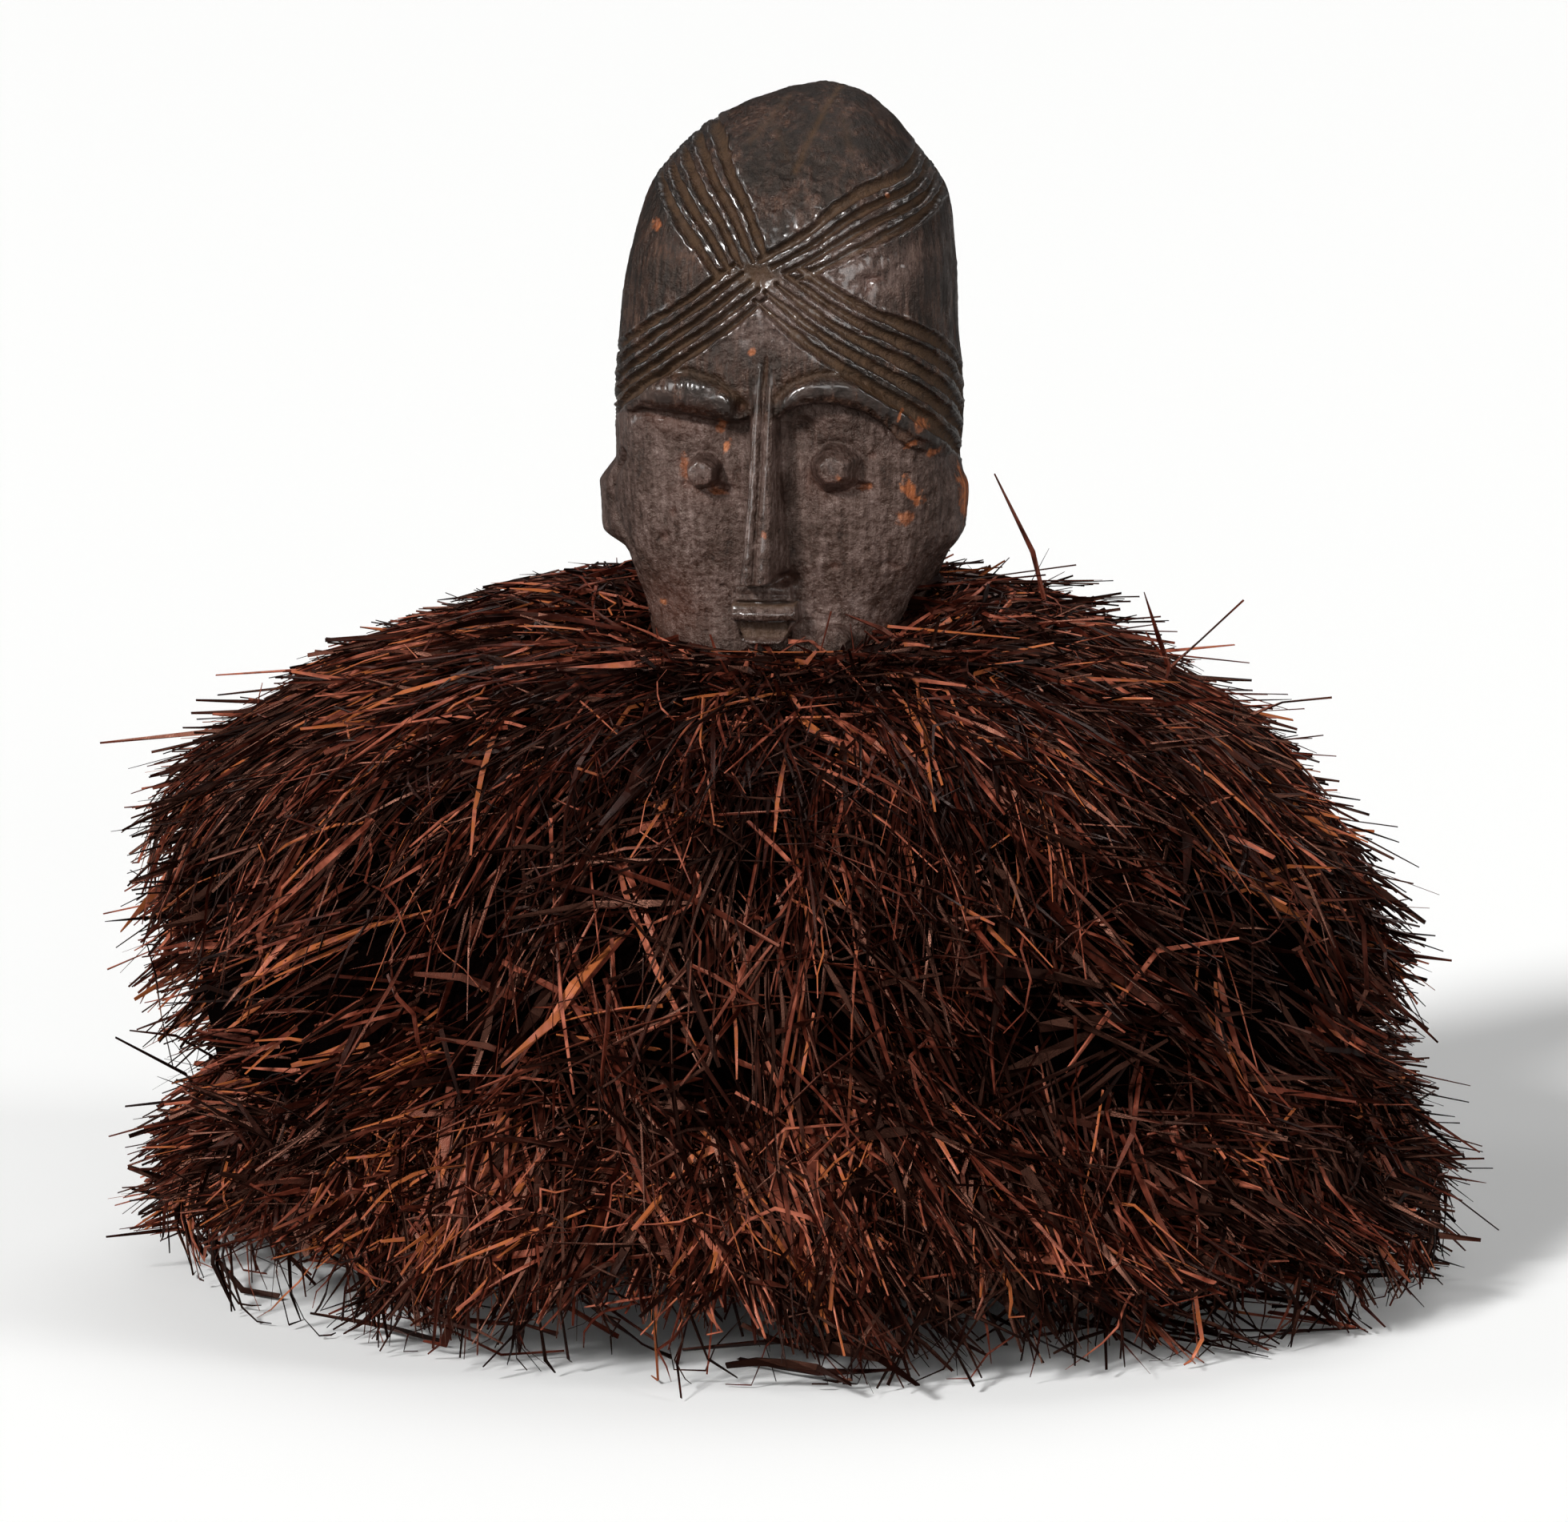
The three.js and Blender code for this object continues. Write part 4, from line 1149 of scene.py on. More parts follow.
    def build(self) -> bpy.types.Object:
        """Builds the head as one closed piece.

        Returns:
            The finished piece.
        """
        sections, angle = self.rows(), self.columns()
        grid = self.ring(sections, angle)
        count_rows, count_columns = grid.shape[:2]
        across = np.roll(grid, -1, axis=1) - np.roll(grid, 1, axis=1)
        normal = unit(np.cross(across, np.gradient(grid, axis=0)).reshape(-1, 3))
        points = grid.reshape(-1, 3)
        degrees = np.degrees(np.tile(angle, count_rows))
        radius = np.hypot(points[:, 0] - np.repeat(sections[:, 1], count_columns), points[:, 1])
        marks = {key: np.zeros(len(points)) for key in MARKS}

        # The face moves straight forward in front, and along the surface's normal at the sides.
        front = np.abs(degrees) < self.face_fades_deg[1]
        front_marks = {key: np.zeros(int(front.sum())) for key in marks}
        forward = np.zeros(len(points))
        forward[front] = self.face_depth(points[front], front_marks) + points[front, 1]
        for key, values in front_marks.items():
            marks[key][front] = values
        forward *= 1 - smooth(*self.face_fades_deg, np.abs(degrees))
        marks["face"] *= 1 - smooth(*self.look_fades_deg, np.abs(degrees))
        turn = smooth(*self.turning_deg, np.abs(degrees))[:, None]
        direction = unit(blend(np.array([0.0, -1.0, 0.0]), normal, turn))
        outward = self.ears(points, degrees) - self.channel_cut(points, degrees, radius, marks)
        outward += self.weathering(points, marks)
        carved = points + direction * forward[:, None] + normal * outward[:, None]

        # A pole on the crown and a point in the middle of the foot close the grid.
        foot = (0.0, 0.0, self.stations[0][0])
        numbers = np.arange(len(points)).reshape(count_rows, count_columns)
        right = np.roll(numbers, -1, axis=1)
        quads = np.stack([numbers[:-1], right[:-1], right[1:], numbers[1:]], axis=-1).reshape(-1, 4)
        top = np.stack([numbers[-1], right[-1], np.full(count_columns, len(points))], axis=-1)
        base = np.stack([right[0], numbers[0], np.full(count_columns, len(points) + 1)], axis=-1)
        closed = to_frame(np.vstack([carved, self.pole, foot]))
        mesh = mesh_of("carved_head", closed, quads.tolist() + top.tolist() + base.tolist())
        for key, values in marks.items():
            add_values(mesh, key, np.append(np.clip(values, 0, 1), [0, 0]))
        mesh.materials.append(self.finish.material())
        mesh.shade_smooth()
        piece = place_object("carved_head_wood", mesh)
        thinner = piece.modifiers.new("fewer_faces", "DECIMATE")
        thinner.ratio = self.triangles / (2 * len(quads) + 2 * count_columns)
        return made_plain(piece)


# The fibre rows


class StripKind(Enum):
    """How a strip lies in its row."""

    RADIAL = "radial"
    BLADE = "blade"
    LYING = "lying"
    CURLED = "curled"
    TANGLE = "tangle"
    HAIR = "hair"


@dataclass(frozen=True)
class StripHabit:
    """The sizes and the waywardness of one kind of strip."""

    steps: int
    length: tuple[float, float]
    half_width: tuple[float, float]
    wander_deg: float
    spread_deg: float
    kink: float
    root_lift: tuple[float, float]
    tip_lift: tuple[float, float]
    shares: tuple[float, float] = (0.0, 1.0)
    straight: bool = True


HABITS = {
    StripKind.RADIAL: StripHabit(3, (45, 120), (0.75, 2.0), 4.0, 17, 0.18, (0, 0), (-15, 7)),
    StripKind.BLADE: StripHabit(4, (40, 100), (1.6, 3.6), 6.0, 20, 0.2, (0, 0), (-10, 7)),
    StripKind.LYING: StripHabit(4, (60, 130), (0.6, 1.6), 2.5, 9, 0.06, (-14, -3), (-6, 6), (0.0, 0.38), False),
    StripKind.CURLED: StripHabit(6, (35, 90), (0.5, 1.3), 15, 42, 0.22, (-14, -2), (-5, 8), (0.0, 0.6), False),
    StripKind.TANGLE: StripHabit(4, (22, 60), (0.6, 2.0), 12, 80, 0.25, (-6, 5), (-4, 8), (0.0, 0.12), False),
    StripKind.HAIR: StripHabit(6, (60, 120), (0.25, 0.45), 5, 12, 0.12, (0, 0), (1, 14)),
}


def strips_tree() -> Tree:
    """Builds the tree that sweeps a flat closed strip along each path.

    Returns:
        The tree, with the strip's sizes as named inputs.
    """
    tree = bpy.data.node_groups.new("strips_along_paths", "GeometryNodeTree")
    sockets = {"Paths": "Geometry", "Thickness Share": "Float", "Sides": "Int"}
    sockets |= {"Twist": "Float", "Seed": "Int", "Finish": "Material"}
    for name, kind in sockets.items():
        tree.interface.new_socket(name, in_out="INPUT", socket_type=f"NodeSocket{kind}")
    tree.interface.new_socket("Strips", in_out="OUTPUT", socket_type="NodeSocketGeometry")
    given = add_node(tree, "NodeGroupInput").outputs
    width, number, along_strip = (
        add_node(tree, "GeometryNodeInputNamedAttribute", {"Name": name}, data_type="FLOAT").outputs[0]
        for name in ("half_width", "strip", "along")
    )

    # Each strip has its own turn at the root, and twists its own way from there.
    by_strip = {"ID": number, "Seed": given["Seed"]}
    start, turns = (
        add_node(tree, "FunctionNodeRandomValue", {2: low, 3: high, **by_strip}, data_type="FLOAT").outputs[1]
        for low, high in ((0.0, 2 * math.pi), (-1.0, 1.0))
    )
    twist = add_node(tree, "ShaderNodeMath", {0: turns, 1: given["Twist"]}, operation="MULTIPLY").outputs[0]
    tilted = {0: along_strip, 1: twist, 2: start}
    tilt = add_node(tree, "ShaderNodeMath", tilted, operation="MULTIPLY_ADD").outputs[0]
    paths = add_node(tree, "GeometryNodeMeshToCurve", {"Mesh": given["Paths"]}).outputs[0]
    paths = add_node(tree, "GeometryNodeSetCurveTilt", {"Curve": paths, "Tilt": tilt}).outputs[0]
    round_one = {"Resolution": given["Sides"], "Radius": 1.0}
    circle = add_node(tree, "GeometryNodeCurvePrimitiveCircle", round_one, mode="RADIUS").outputs[0]
    thin = {"X": 1.0, "Y": given["Thickness Share"], "Z": 1.0}
    flat = add_node(tree, "ShaderNodeCombineXYZ", thin).outputs[0]
    profile = add_node(tree, "GeometryNodeTransform", {"Geometry": circle, "Scale": flat}).outputs[0]
    swept = {"Curve": paths, "Profile Curve": profile, "Scale": width, "Fill Caps": True}
    strips = add_node(tree, "GeometryNodeCurveToMesh", swept).outputs[0]
    for kind, inputs in (
        ("GeometryNodeSetShadeSmooth", {"Shade Smooth": False}),
        ("GeometryNodeRealizeInstances", {}),
        ("GeometryNodeSetMaterial", {"Material": given["Finish"]}),
    ):
        strips = add_node(tree, kind, {"Geometry": strips, **inputs}).outputs[0]
    add_node(tree, "NodeGroupOutput", {0: strips})
    return tree


@dataclass
class Strips:
    """A growing heap of strip paths, each with its width and shade at every point."""

    points: list = field(default_factory=list)
    widths: list = field(default_factory=list)
    shades: list = field(default_factory=list)
    # a strip's width along its length, its thickness as a share of that, its sides, its most twist in radians
    taper: Line = ((0, 0.8), (0.12, 1), (0.6, 1), (1, 0.4))
    thickness: float = 0.3
    sides: int = 3
    twist: float = 3.5

    def add(self, paths: Array, half_width: Array, shade: Array) -> None:
        """Adds strips that have the same number of points.

        Args:
            paths: Points in mm, as strips by points by xyz.
            half_width: One value per strip; it tapers to both ends.
            shade: One value per strip.
        """
        self.points.append(paths)
        self.widths.append(half_width[:, None] * along(self.taper, np.linspace(0, 1, paths.shape[1])))
        self.shades.append(np.broadcast_to(shade[:, None], paths.shape[:2]))

    def piece(self, name: str, tree: Tree, finish: bpy.types.Material, seed: int) -> bpy.types.Object:
        """Sweeps the strips into one plain mesh.

        Args:
            name: The piece's name.
            tree: The tree that sweeps a strip along each path.
            finish: The strips' material.
            seed: For the strips' turns and twists.

        Returns:
            The finished piece.
        """
        edges, first, number, numbers, shares = [], 0, 0, [], []
        for paths in self.points:
            count, length = paths.shape[:2]
            ids = first + np.arange(count * length).reshape(count, length)
            edges.append(np.stack([ids[:, :-1], ids[:, 1:]], axis=-1).reshape(-1, 2))
            numbers.append(np.repeat(number + np.arange(count), length))
            shares.append(np.tile(np.linspace(0, 1, length), count))
            first, number = first + count * length, number + count
        flat = np.concatenate([p.reshape(-1, 3) for p in self.points])
        mesh = mesh_of(name, to_frame(flat), [], np.concatenate(edges).tolist())
        add_values(mesh, "half_width", np.concatenate([w.ravel() for w in self.widths]) * METRES)
        add_values(mesh, "shade", np.concatenate([s.ravel() for s in self.shades]))
        add_values(mesh, "strip", np.concatenate(numbers))
        add_values(mesh, "along", np.concatenate(shares))
        source = place_object(name, mesh)
        sweep = source.modifiers.new("strips", "NODES")
        sweep.node_group = tree
        values = {"Thickness Share": self.thickness, "Sides": self.sides, "Twist": self.twist}
        values |= {"Seed": seed, "Finish": finish}
        for socket in tree.interface.items_tree:
            if socket.in_out == "INPUT" and socket.name in values:
                sweep[socket.identifier] = values[socket.name]
        piece = made_plain(source)
        for spare in ("half_width", "strip", "along"):
            if spare in piece.data.attributes:
                piece.data.attributes.remove(piece.data.attributes[spare])
        return piece


def in_front(angle: Array) -> Array:
    """1 in the middle of the front, falling to 0 at both sides and staying 0 behind."""
    return np.maximum(0, -np.sin(angle)) ** 2


def away_at(angle: Array) -> Array:
    """The way out of the axis at each angle from +X towards +Y, a little shorter in front and behind."""
    return np.stack([np.cos(angle), np.sin(angle) * DEPTH_SHARE], axis=-1)


@dataclass
class FibreRow:
    """One row of fibre: a matted layer with thousands of loose strips over it."""

    node: str
    name: str
    seed: int
    # radius and height along the row's outer surface, on the viewer's left, right and in front
    left: Line
    right: Line
    front: Line
    # the matted layer stays this far under the outer surface, and is closed by these inner points
    matted_depth: float
    matted_shares: tuple[float, float]
    inner: Line
    tufts: int
    counts: dict[StripKind, int]
    starts: tuple[float, float]
    start_power: float
    reach: float
    # the height on the axis that straight strips point away from, and how far they droop along the surface
    heart: float
    drape_at_side: tuple[float, float]
    drape_in_front: tuple[float, float]
    # how much strips in front spread sideways
    splay: float = 1.3
    tuft_lift: float = 7.0
    flare_right: float = 0.0
    longer_in_front: float = 0.0
    # strips beyond this share of the line thin out by this share, so that the hem shows gaps
    thin_beyond: float = 2.0
    thinned: float = 0.0
    # how far strips stray from their tuft: radians round the row, and share of its line
    tuft_spread: tuple[float, float] = (0.034, 0.035)
    # how much wilder strips lie in front, walking over the surface or thrust out of the neck
    wilder_in_front: tuple[float, float] = (0.9, 0.8)
    # some stiff strips rise off the surface: their share, and how far, mm
    risen_share: float = 0.09
    risen: tuple[float, float] = (4.0, 16.0)
    # near the neck strips keep only this share of their lift, on the viewer's left and right
    root_calm: tuple[float, float] = (0.35, 0.9)
    # strips go no nearer to the axis than the neck, and no farther than this to the side and to the front
    neck: float = 54.0
    farthest: tuple[float, float] = (308.0, 291.0)
    # heights where strips end under the chin, its corners, how steeply strips rise past them, and the dip under
    # its knob: place, reach, depth
    chin_heights: tuple[float, float] = (261.0, 298.0)
    chin_corners: tuple[float, float] = (-28.0, 37.0)
    chin_slopes: tuple[float, float] = (0.4, 0.8)
    chin_dip: tuple[float, float, float] = (27.6, 9.0, 12.0)
    # that limit goes up by no_chin between these distances from the axis, and behind this place
    past_chin: tuple[float, float] = (96.0, 112.0)
    behind_chin: float = -30.0
    no_chin: float = 200.0
    # the least room over the floor, and how much of it varies, mm
    floor_room: tuple[float, float] = (0.4, 2.5)
    # how much of a strip's shade is its tuft's and its own, and how strong and bent the range of shades is
    shade_parts: tuple[float, float] = (0.55, 0.45)
    shade_range: tuple[float, float] = (1.12, 1.5)
    # a few strips are paler: their share, and by how much
    pale: tuple[float, float] = (0.03, 0.3)
    # the matted layer's columns and rings, and its unevenness: height, cell
    matted_grid: tuple[int, int] = (180, 16)
    matted_relief: tuple = (2.5, (14, 14, 40))
    # places with redder, paler strips: x, y, z, reach across, reach in height, how much paler
    warm_places: Line = ()
    # single strips in front of the chin and off the outline, from root to tip, and how wide and pale they are
    strays: tuple = ()
    stray_half_width: tuple[float, float] = (1.3, 1.6)
    stray_shade: tuple[float, float] = (0.75, 0.6)

    def lines(self, angle: Array) -> Array:
        """The row's outer line at each angle, mixed from left, right and front.

        Args:
            angle: Angles from +X towards +Y.

        Returns:
            Lines by points by radius and height.
        """
        right = smooth(0, 1, (np.cos(angle) + 1) / 2)[:, None, None]
        front = smooth(0, 1, np.maximum(0, -np.sin(angle)))[:, None, None]
        side = blend(np.asarray(self.left, float)[None], np.asarray(self.right, float)[None], right)
        made = blend(side, np.asarray(self.front, float)[None], front)
        made[..., 0] += self.flare_right * right[..., 0]
        return made

    def walk(
        self, kind: StripKind, angle: Array, share: Array, tuft: Array, rng: np.random.Generator
    ) -> Array:
        """Lets strips wander over the row's surface from their roots.

        Args:
            kind: The kind of strip.
            angle: Where each strip starts round the row.
            share: Where each strip starts along the row's outer line.
            tuft: The tuft that each strip belongs to.
            rng: Random numbers.

        Returns:
            Paths in mm, as strips by points by xyz.
        """
        habit = HABITS[kind]
        count = len(angle)
        wild = 1 + self.wilder_in_front[0] * in_front(angle)
        wander, spread = math.radians(habit.wander_deg), math.radians(habit.spread_deg)
        length = rng.uniform(*habit.length, count) * self.reach
        bundle = rng.normal(0, wander, (self.tufts, habit.steps + 1))
        heading = rng.normal(0, spread, count) * wild * 0.7
        heading += rng.normal(0, spread, self.tufts)[tuft] * wild * 0.7
        root, tip = rng.uniform(*habit.root_lift, count), rng.uniform(*habit.tip_lift, count)
        step = length / habit.steps
        points = np.empty((count, habit.steps + 1, 3))
        for j in range(habit.steps + 1):
            place, run = spline(self.lines(angle), share)
            speed = np.maximum(np.hypot(run[:, 0], run[:, 1]), 1.0)
            lift = blend(root, tip, j / habit.steps)
            radius = place[:, 0] - run[:, 1] / speed * lift
            z = place[:, 1] + run[:, 0] / speed * lift
            points[:, j] = np.stack([radius * np.cos(angle), radius * np.sin(angle) * DEPTH_SHARE, z], axis=-1)
            # tuft and strip each turn a little, and now and then a strip kinks
            kinked = (rng.random(count) < habit.kink) * rng.normal(0, 0.6, count)
            turned = bundle[tuft, j] * 0.7 + rng.normal(0, wander, count) * 0.6 + kinked
            heading = heading * 0.96 + turned * wild
            share = share + step * np.cos(heading) / speed
            angle = angle + step * np.sin(heading) / np.maximum(radius, 60)
        return points

    def radius_at(self, angle: Array, z: Array) -> Array:
        """The radius of the row's outer surface at given heights.

        Args:
            angle: One angle per strip.
            z: Heights, as strips by points.

        Returns:
            One radius for each height.
        """
        lines = self.lines(angle)
        found = np.where(z >= lines[:, :1, 1], lines[:, :1, 0], lines[:, -1:, 0])
        for k in range(lines.shape[1] - 1):
            (r0, z0), (r1, z1) = (lines[:, k + i, :, None].transpose(1, 0, 2) for i in (0, 1))
            share = (z0 - z) / np.maximum(z0 - z1, 0.001)
            found = np.where((z <= z0) & (z > z1), blend(r0, r1, share), found)
        return found

    def aimed(
        self, habit: StripHabit, angle: Array, share: Array, tuft: Array, rng: np.random.Generator
    ) -> tuple[Array, Array]:
        """Places the tips of stiff strips near the row's surface and points them away from its heart.

        Args:
            habit: The sizes and the waywardness of these strips.
            angle: Where each tip lies round the row.
            share: Where each tip lies along the row's outer line.
            tuft: The tuft that each strip belongs to.
            rng: Random numbers.

        Returns:
            The tips in mm, and the direction of each one.
        """
        count = len(angle)
        place, run = spline(self.lines(angle), share)
        run = unit(run)
        around = away_at(angle)
        surface = np.column_stack([around * place[:, :1], place[:, 1]])
        down = np.column_stack([around * run[:, :1], run[:, 1]])
        out = np.column_stack([-around * run[:, 1:], run[:, 0]])
        lift = rng.uniform(*habit.tip_lift, count)
        lift += rng.uniform(*self.risen, count) * (rng.random(count) < self.risen_share)
        lift += self.tuft_lift * rng.normal(0, 1, self.tufts)[tuft]
        calm = blend(*self.root_calm, smooth(0.1, 0.7, np.cos(angle)))
        lift *= blend(calm, 1.0, smooth(0.2, 0.5, share))
        spot = surface + out * lift[:, None]
        heading = unit(spot - np.array([0.0, 0.0, self.heart]))
        front = in_front(angle)
        drape = blend(*self.drape_at_side, np.clip(share, 0, 1))
        drape = blend(drape, blend(*self.drape_in_front, np.clip(share, 0, 1)), front)
        heading += down * drape[:, None]
        heading[:, 0] += self.splay * (0.25 + 0.75 * front) * surface[:, 0] / 250
        wild = 1 + self.wilder_in_front[1] * front[:, None]
        spread = math.radians(habit.spread_deg)
        heading += rng.normal(0, spread * 0.6, (count, 3)) * wild
        heading += rng.normal(0, spread * 1.1, (self.tufts, 3))[tuft] * wild
        return spot, unit(heading)

    def thrust(
        self, kind: StripKind, angle: Array, share: Array, tuft: Array, rng: np.random.Generator
    ) -> Array:
        """Lets stiff strips run almost straight from the neck to their tips near the row's surface.

        Args:
            kind: The kind of strip.
            angle: Where each tip lies round the row.
            share: Where each tip lies along the row's outer line.
            tuft: The tuft that each strip belongs to.
            rng: Random numbers.

        Returns:
            Paths in mm from root to tip, as strips by points by xyz.
        """
        habit = HABITS[kind]
        count = len(angle)
        spot, heading = self.aimed(habit, angle, share, tuft, rng)

        # From its tip a strip is followed back to its root; on top of the row it stands up less.
        droop = rng.uniform(0.05, 0.5, count)
        on_top = 1 - smooth(0.3, 0.6, share)
        droop = blend(droop, np.maximum(droop, 0.15 - heading[:, 2]) + 0.15, on_top) / habit.steps
        step = (rng.uniform(*habit.length, count) * self.reach / habit.steps)[:, None]
        points = np.empty((count, habit.steps + 1, 3))
        for j in range(habit.steps, -1, -1):
            points[:, j] = spot
            kinked = (rng.random(count) < habit.kink)[:, None] * rng.normal(0, 0.35, (count, 3))
            heading = heading + kinked + rng.normal(0, math.radians(habit.wander_deg), (count, 3))
            heading[:, 2] += droop
            heading = unit(heading)
            spot = spot - heading * step

        # All but the tips stay under the row's surface.
        inner = points[:, :-1]
        highest = self.lines(angle)[:, :1, 1] + rng.uniform(-15, 12, count)[:, None]
        inner[..., 2] = np.minimum(inner[..., 2], highest)
        limit = self.radius_at(angle, inner[..., 2]) - rng.uniform(0, 7, count)[:, None]
        radius = np.hypot(inner[..., 0], inner[..., 1] / DEPTH_SHARE)
        inner[..., :2] *= np.minimum(1.0, limit / np.maximum(radius, 1.0))[..., None]
        return points

    def kept_clear(self, paths: Array, half_width: Array, rng: np.random.Generator) -> None:
        """Keeps strips above the floor, below the chin, round the neck and near the row's outline.

        Args:
            paths: Points in mm, which this changes.
            half_width: One value per strip.
            rng: Random numbers.
        """
        away = np.linalg.norm(paths[..., :2], axis=-1, keepdims=True)
        paths[..., :2] *= np.maximum(away, self.neck) / np.maximum(away, 1.0)
        over = np.hypot(paths[..., 0] / self.farthest[0], paths[..., 1] / self.farthest[1])[..., None]
        paths[..., :2] /= np.maximum(over, 1.0)
        count = len(paths)
        x = paths[..., 0]
        height = rng.random((count, 1))
        left, right = self.chin_corners
        middle, reach, depth = self.chin_dip
        chin = blend(*self.chin_heights, height**2.2)
        chin = chin + self.chin_slopes[0] * np.maximum(0, left - x)
        chin = chin + self.chin_slopes[1] * np.maximum(0, x - right)
        chin = chin + 3 * np.sin(x / 5.3 + 1) * np.sin(x / 3.1)
        chin = chin - depth * hill(x - middle, reach)
        chin = chin + self.no_chin * smooth(*self.past_chin, away[..., 0])
        chin = chin + self.no_chin * (paths[..., 1] > self.behind_chin)
        # A strip that would rise past the chin bends down again.
        paths[..., 2] -= (1.8 - 0.7 * height) * np.maximum(0, paths[..., 2] - chin)
        floor = half_width[:, None] + self.floor_room[0] + rng.random(count)[:, None] * self.floor_room[1]
        paths[..., 2] = np.maximum(paths[..., 2], floor)

    def scatter(self, half: int) -> Strips:
        """Scatters the strips of the front or the back half.

        Args:
            half: -1 for the front, 1 for the back.

        Returns:
            The strips.
        """
        rng = np.random.default_rng(self.seed + (1 if half > 0 else 0))
        heap = Strips()
        tuft_angle = (rng.random(self.tufts) * math.pi) * half
        tuft_share = rng.random(self.tufts) ** self.start_power
        tuft_shade = rng.random(self.tufts)
        raised = np.where(rng.random(self.tufts) < self.thinned, rng.uniform(0.12, 0.4, self.tufts), 0.0)
        for kind, count in self.counts.items():
            habit = HABITS[kind]
            tuft = rng.integers(0, self.tufts, count)
            angle = tuft_angle[tuft] + rng.normal(0, self.tuft_spread[0], count)
            low, high = np.array(habit.shares) * (self.starts[1] - self.starts[0]) + self.starts[0]
            share = blend(low, high, tuft_share[tuft]) + rng.normal(0, self.tuft_spread[1], count)
            share = np.clip(share, low, self.starts[1])
            share = share - raised[tuft] * smooth(self.thin_beyond - 0.1, self.thin_beyond + 0.1, share)
            share = share * (1 + self.longer_in_front * in_front(angle))
            paths = (self.thrust if habit.straight else self.walk)(kind, angle, share, tuft, rng)
            width = blend(*habit.half_width, rng.random(count) ** 1.5)
            self.kept_clear(paths, width, rng)
            shade = self.shade_parts[0] * tuft_shade[tuft] + self.shade_parts[1] * rng.random(count)
            shade = self.shade_range[0] * shade ** self.shade_range[1]
            shade = shade + (rng.random(count) < self.pale[0]) * self.pale[1]
            middle = paths[:, -1]
            for x, y, z, wide, high, rise in self.warm_places:
                near = ((middle[:, 0] - x) / wide) ** 2 + ((middle[:, 1] - y) / wide) ** 2
                warmth = np.exp(-near - ((middle[:, 2] - z) / high) ** 2)
                shade = shade + rise * warmth * rng.random(count)
            heap.add(paths, width, np.clip(shade, 0, 1))
        if half < 0 and self.strays:
            paths = np.asarray(self.strays, float)
            ends = (self.stray_half_width, self.stray_shade)
            heap.add(paths, *(np.linspace(*pair, len(paths)) for pair in ends))
        return heap

    def matted(self, finish: bpy.types.Material) -> bpy.types.Object:
        """Builds the closed matted layer under the strips.

        Args:
            finish: Its material.

        Returns:
            The finished piece.
        """
        columns, count = self.matted_grid
        height, cell = self.matted_relief
        angle = np.linspace(0, 2 * math.pi, columns, endpoint=False)
        rings = []
        lines = self.lines(angle)
        for share in np.linspace(*self.matted_shares, count):
            place, run = spline(lines, np.full(len(angle), share))
            speed = np.hypot(run[:, 0], run[:, 1])
            flat = np.stack([np.cos(angle) * place[:, 0], np.sin(angle) * place[:, 0], place[:, 1]], axis=-1)
            depth = self.matted_depth + height * lattice_noise(flat, cell, self.seed + 3)
            radius, z = place[:, 0] + run[:, 1] / speed * depth, place[:, 1] - run[:, 0] / speed * depth
            rings.append(np.stack([radius * np.cos(angle), radius * np.sin(angle) * DEPTH_SHARE, z], axis=-1))
        for radius, z in self.inner:
            rings.append(np.column_stack([away_at(angle) * radius, np.full(len(angle), float(z))]))
        grid = np.stack(rings)
        numbers = np.arange(grid.shape[0] * grid.shape[1]).reshape(grid.shape[:2])
        below, right = np.roll(numbers, -1, axis=0), np.roll(numbers, -1, axis=1)
        corner = np.roll(below, -1, axis=1)
        quads = np.stack([numbers, below, corner, right], axis=-1).reshape(-1, 4)
        mesh = mesh_of(f"{self.name}_matted_layer", to_frame(grid.reshape(-1, 3)), quads.tolist())
        mesh.materials.append(finish)
        mesh.shade_smooth()
        return place_object(mesh.name, mesh)

    def build(self, tree: Tree, strip: bpy.types.Material, matted: bpy.types.Material) -> None:
        """Builds the row's pieces and hands them over.

        Args:
            tree: The tree that sweeps a strip along each path.
            strip: The strips' material.
            matted: The matted layer's material, near-black as painted shade.
        """
        hand_over(self.matted(matted), self.node)
        for half, word in ((-1, "front"), (1, "back")):
            piece = self.scatter(half).piece(f"{self.name}_strips_{word}", tree, strip, self.seed + half)
            hand_over(piece, self.node)


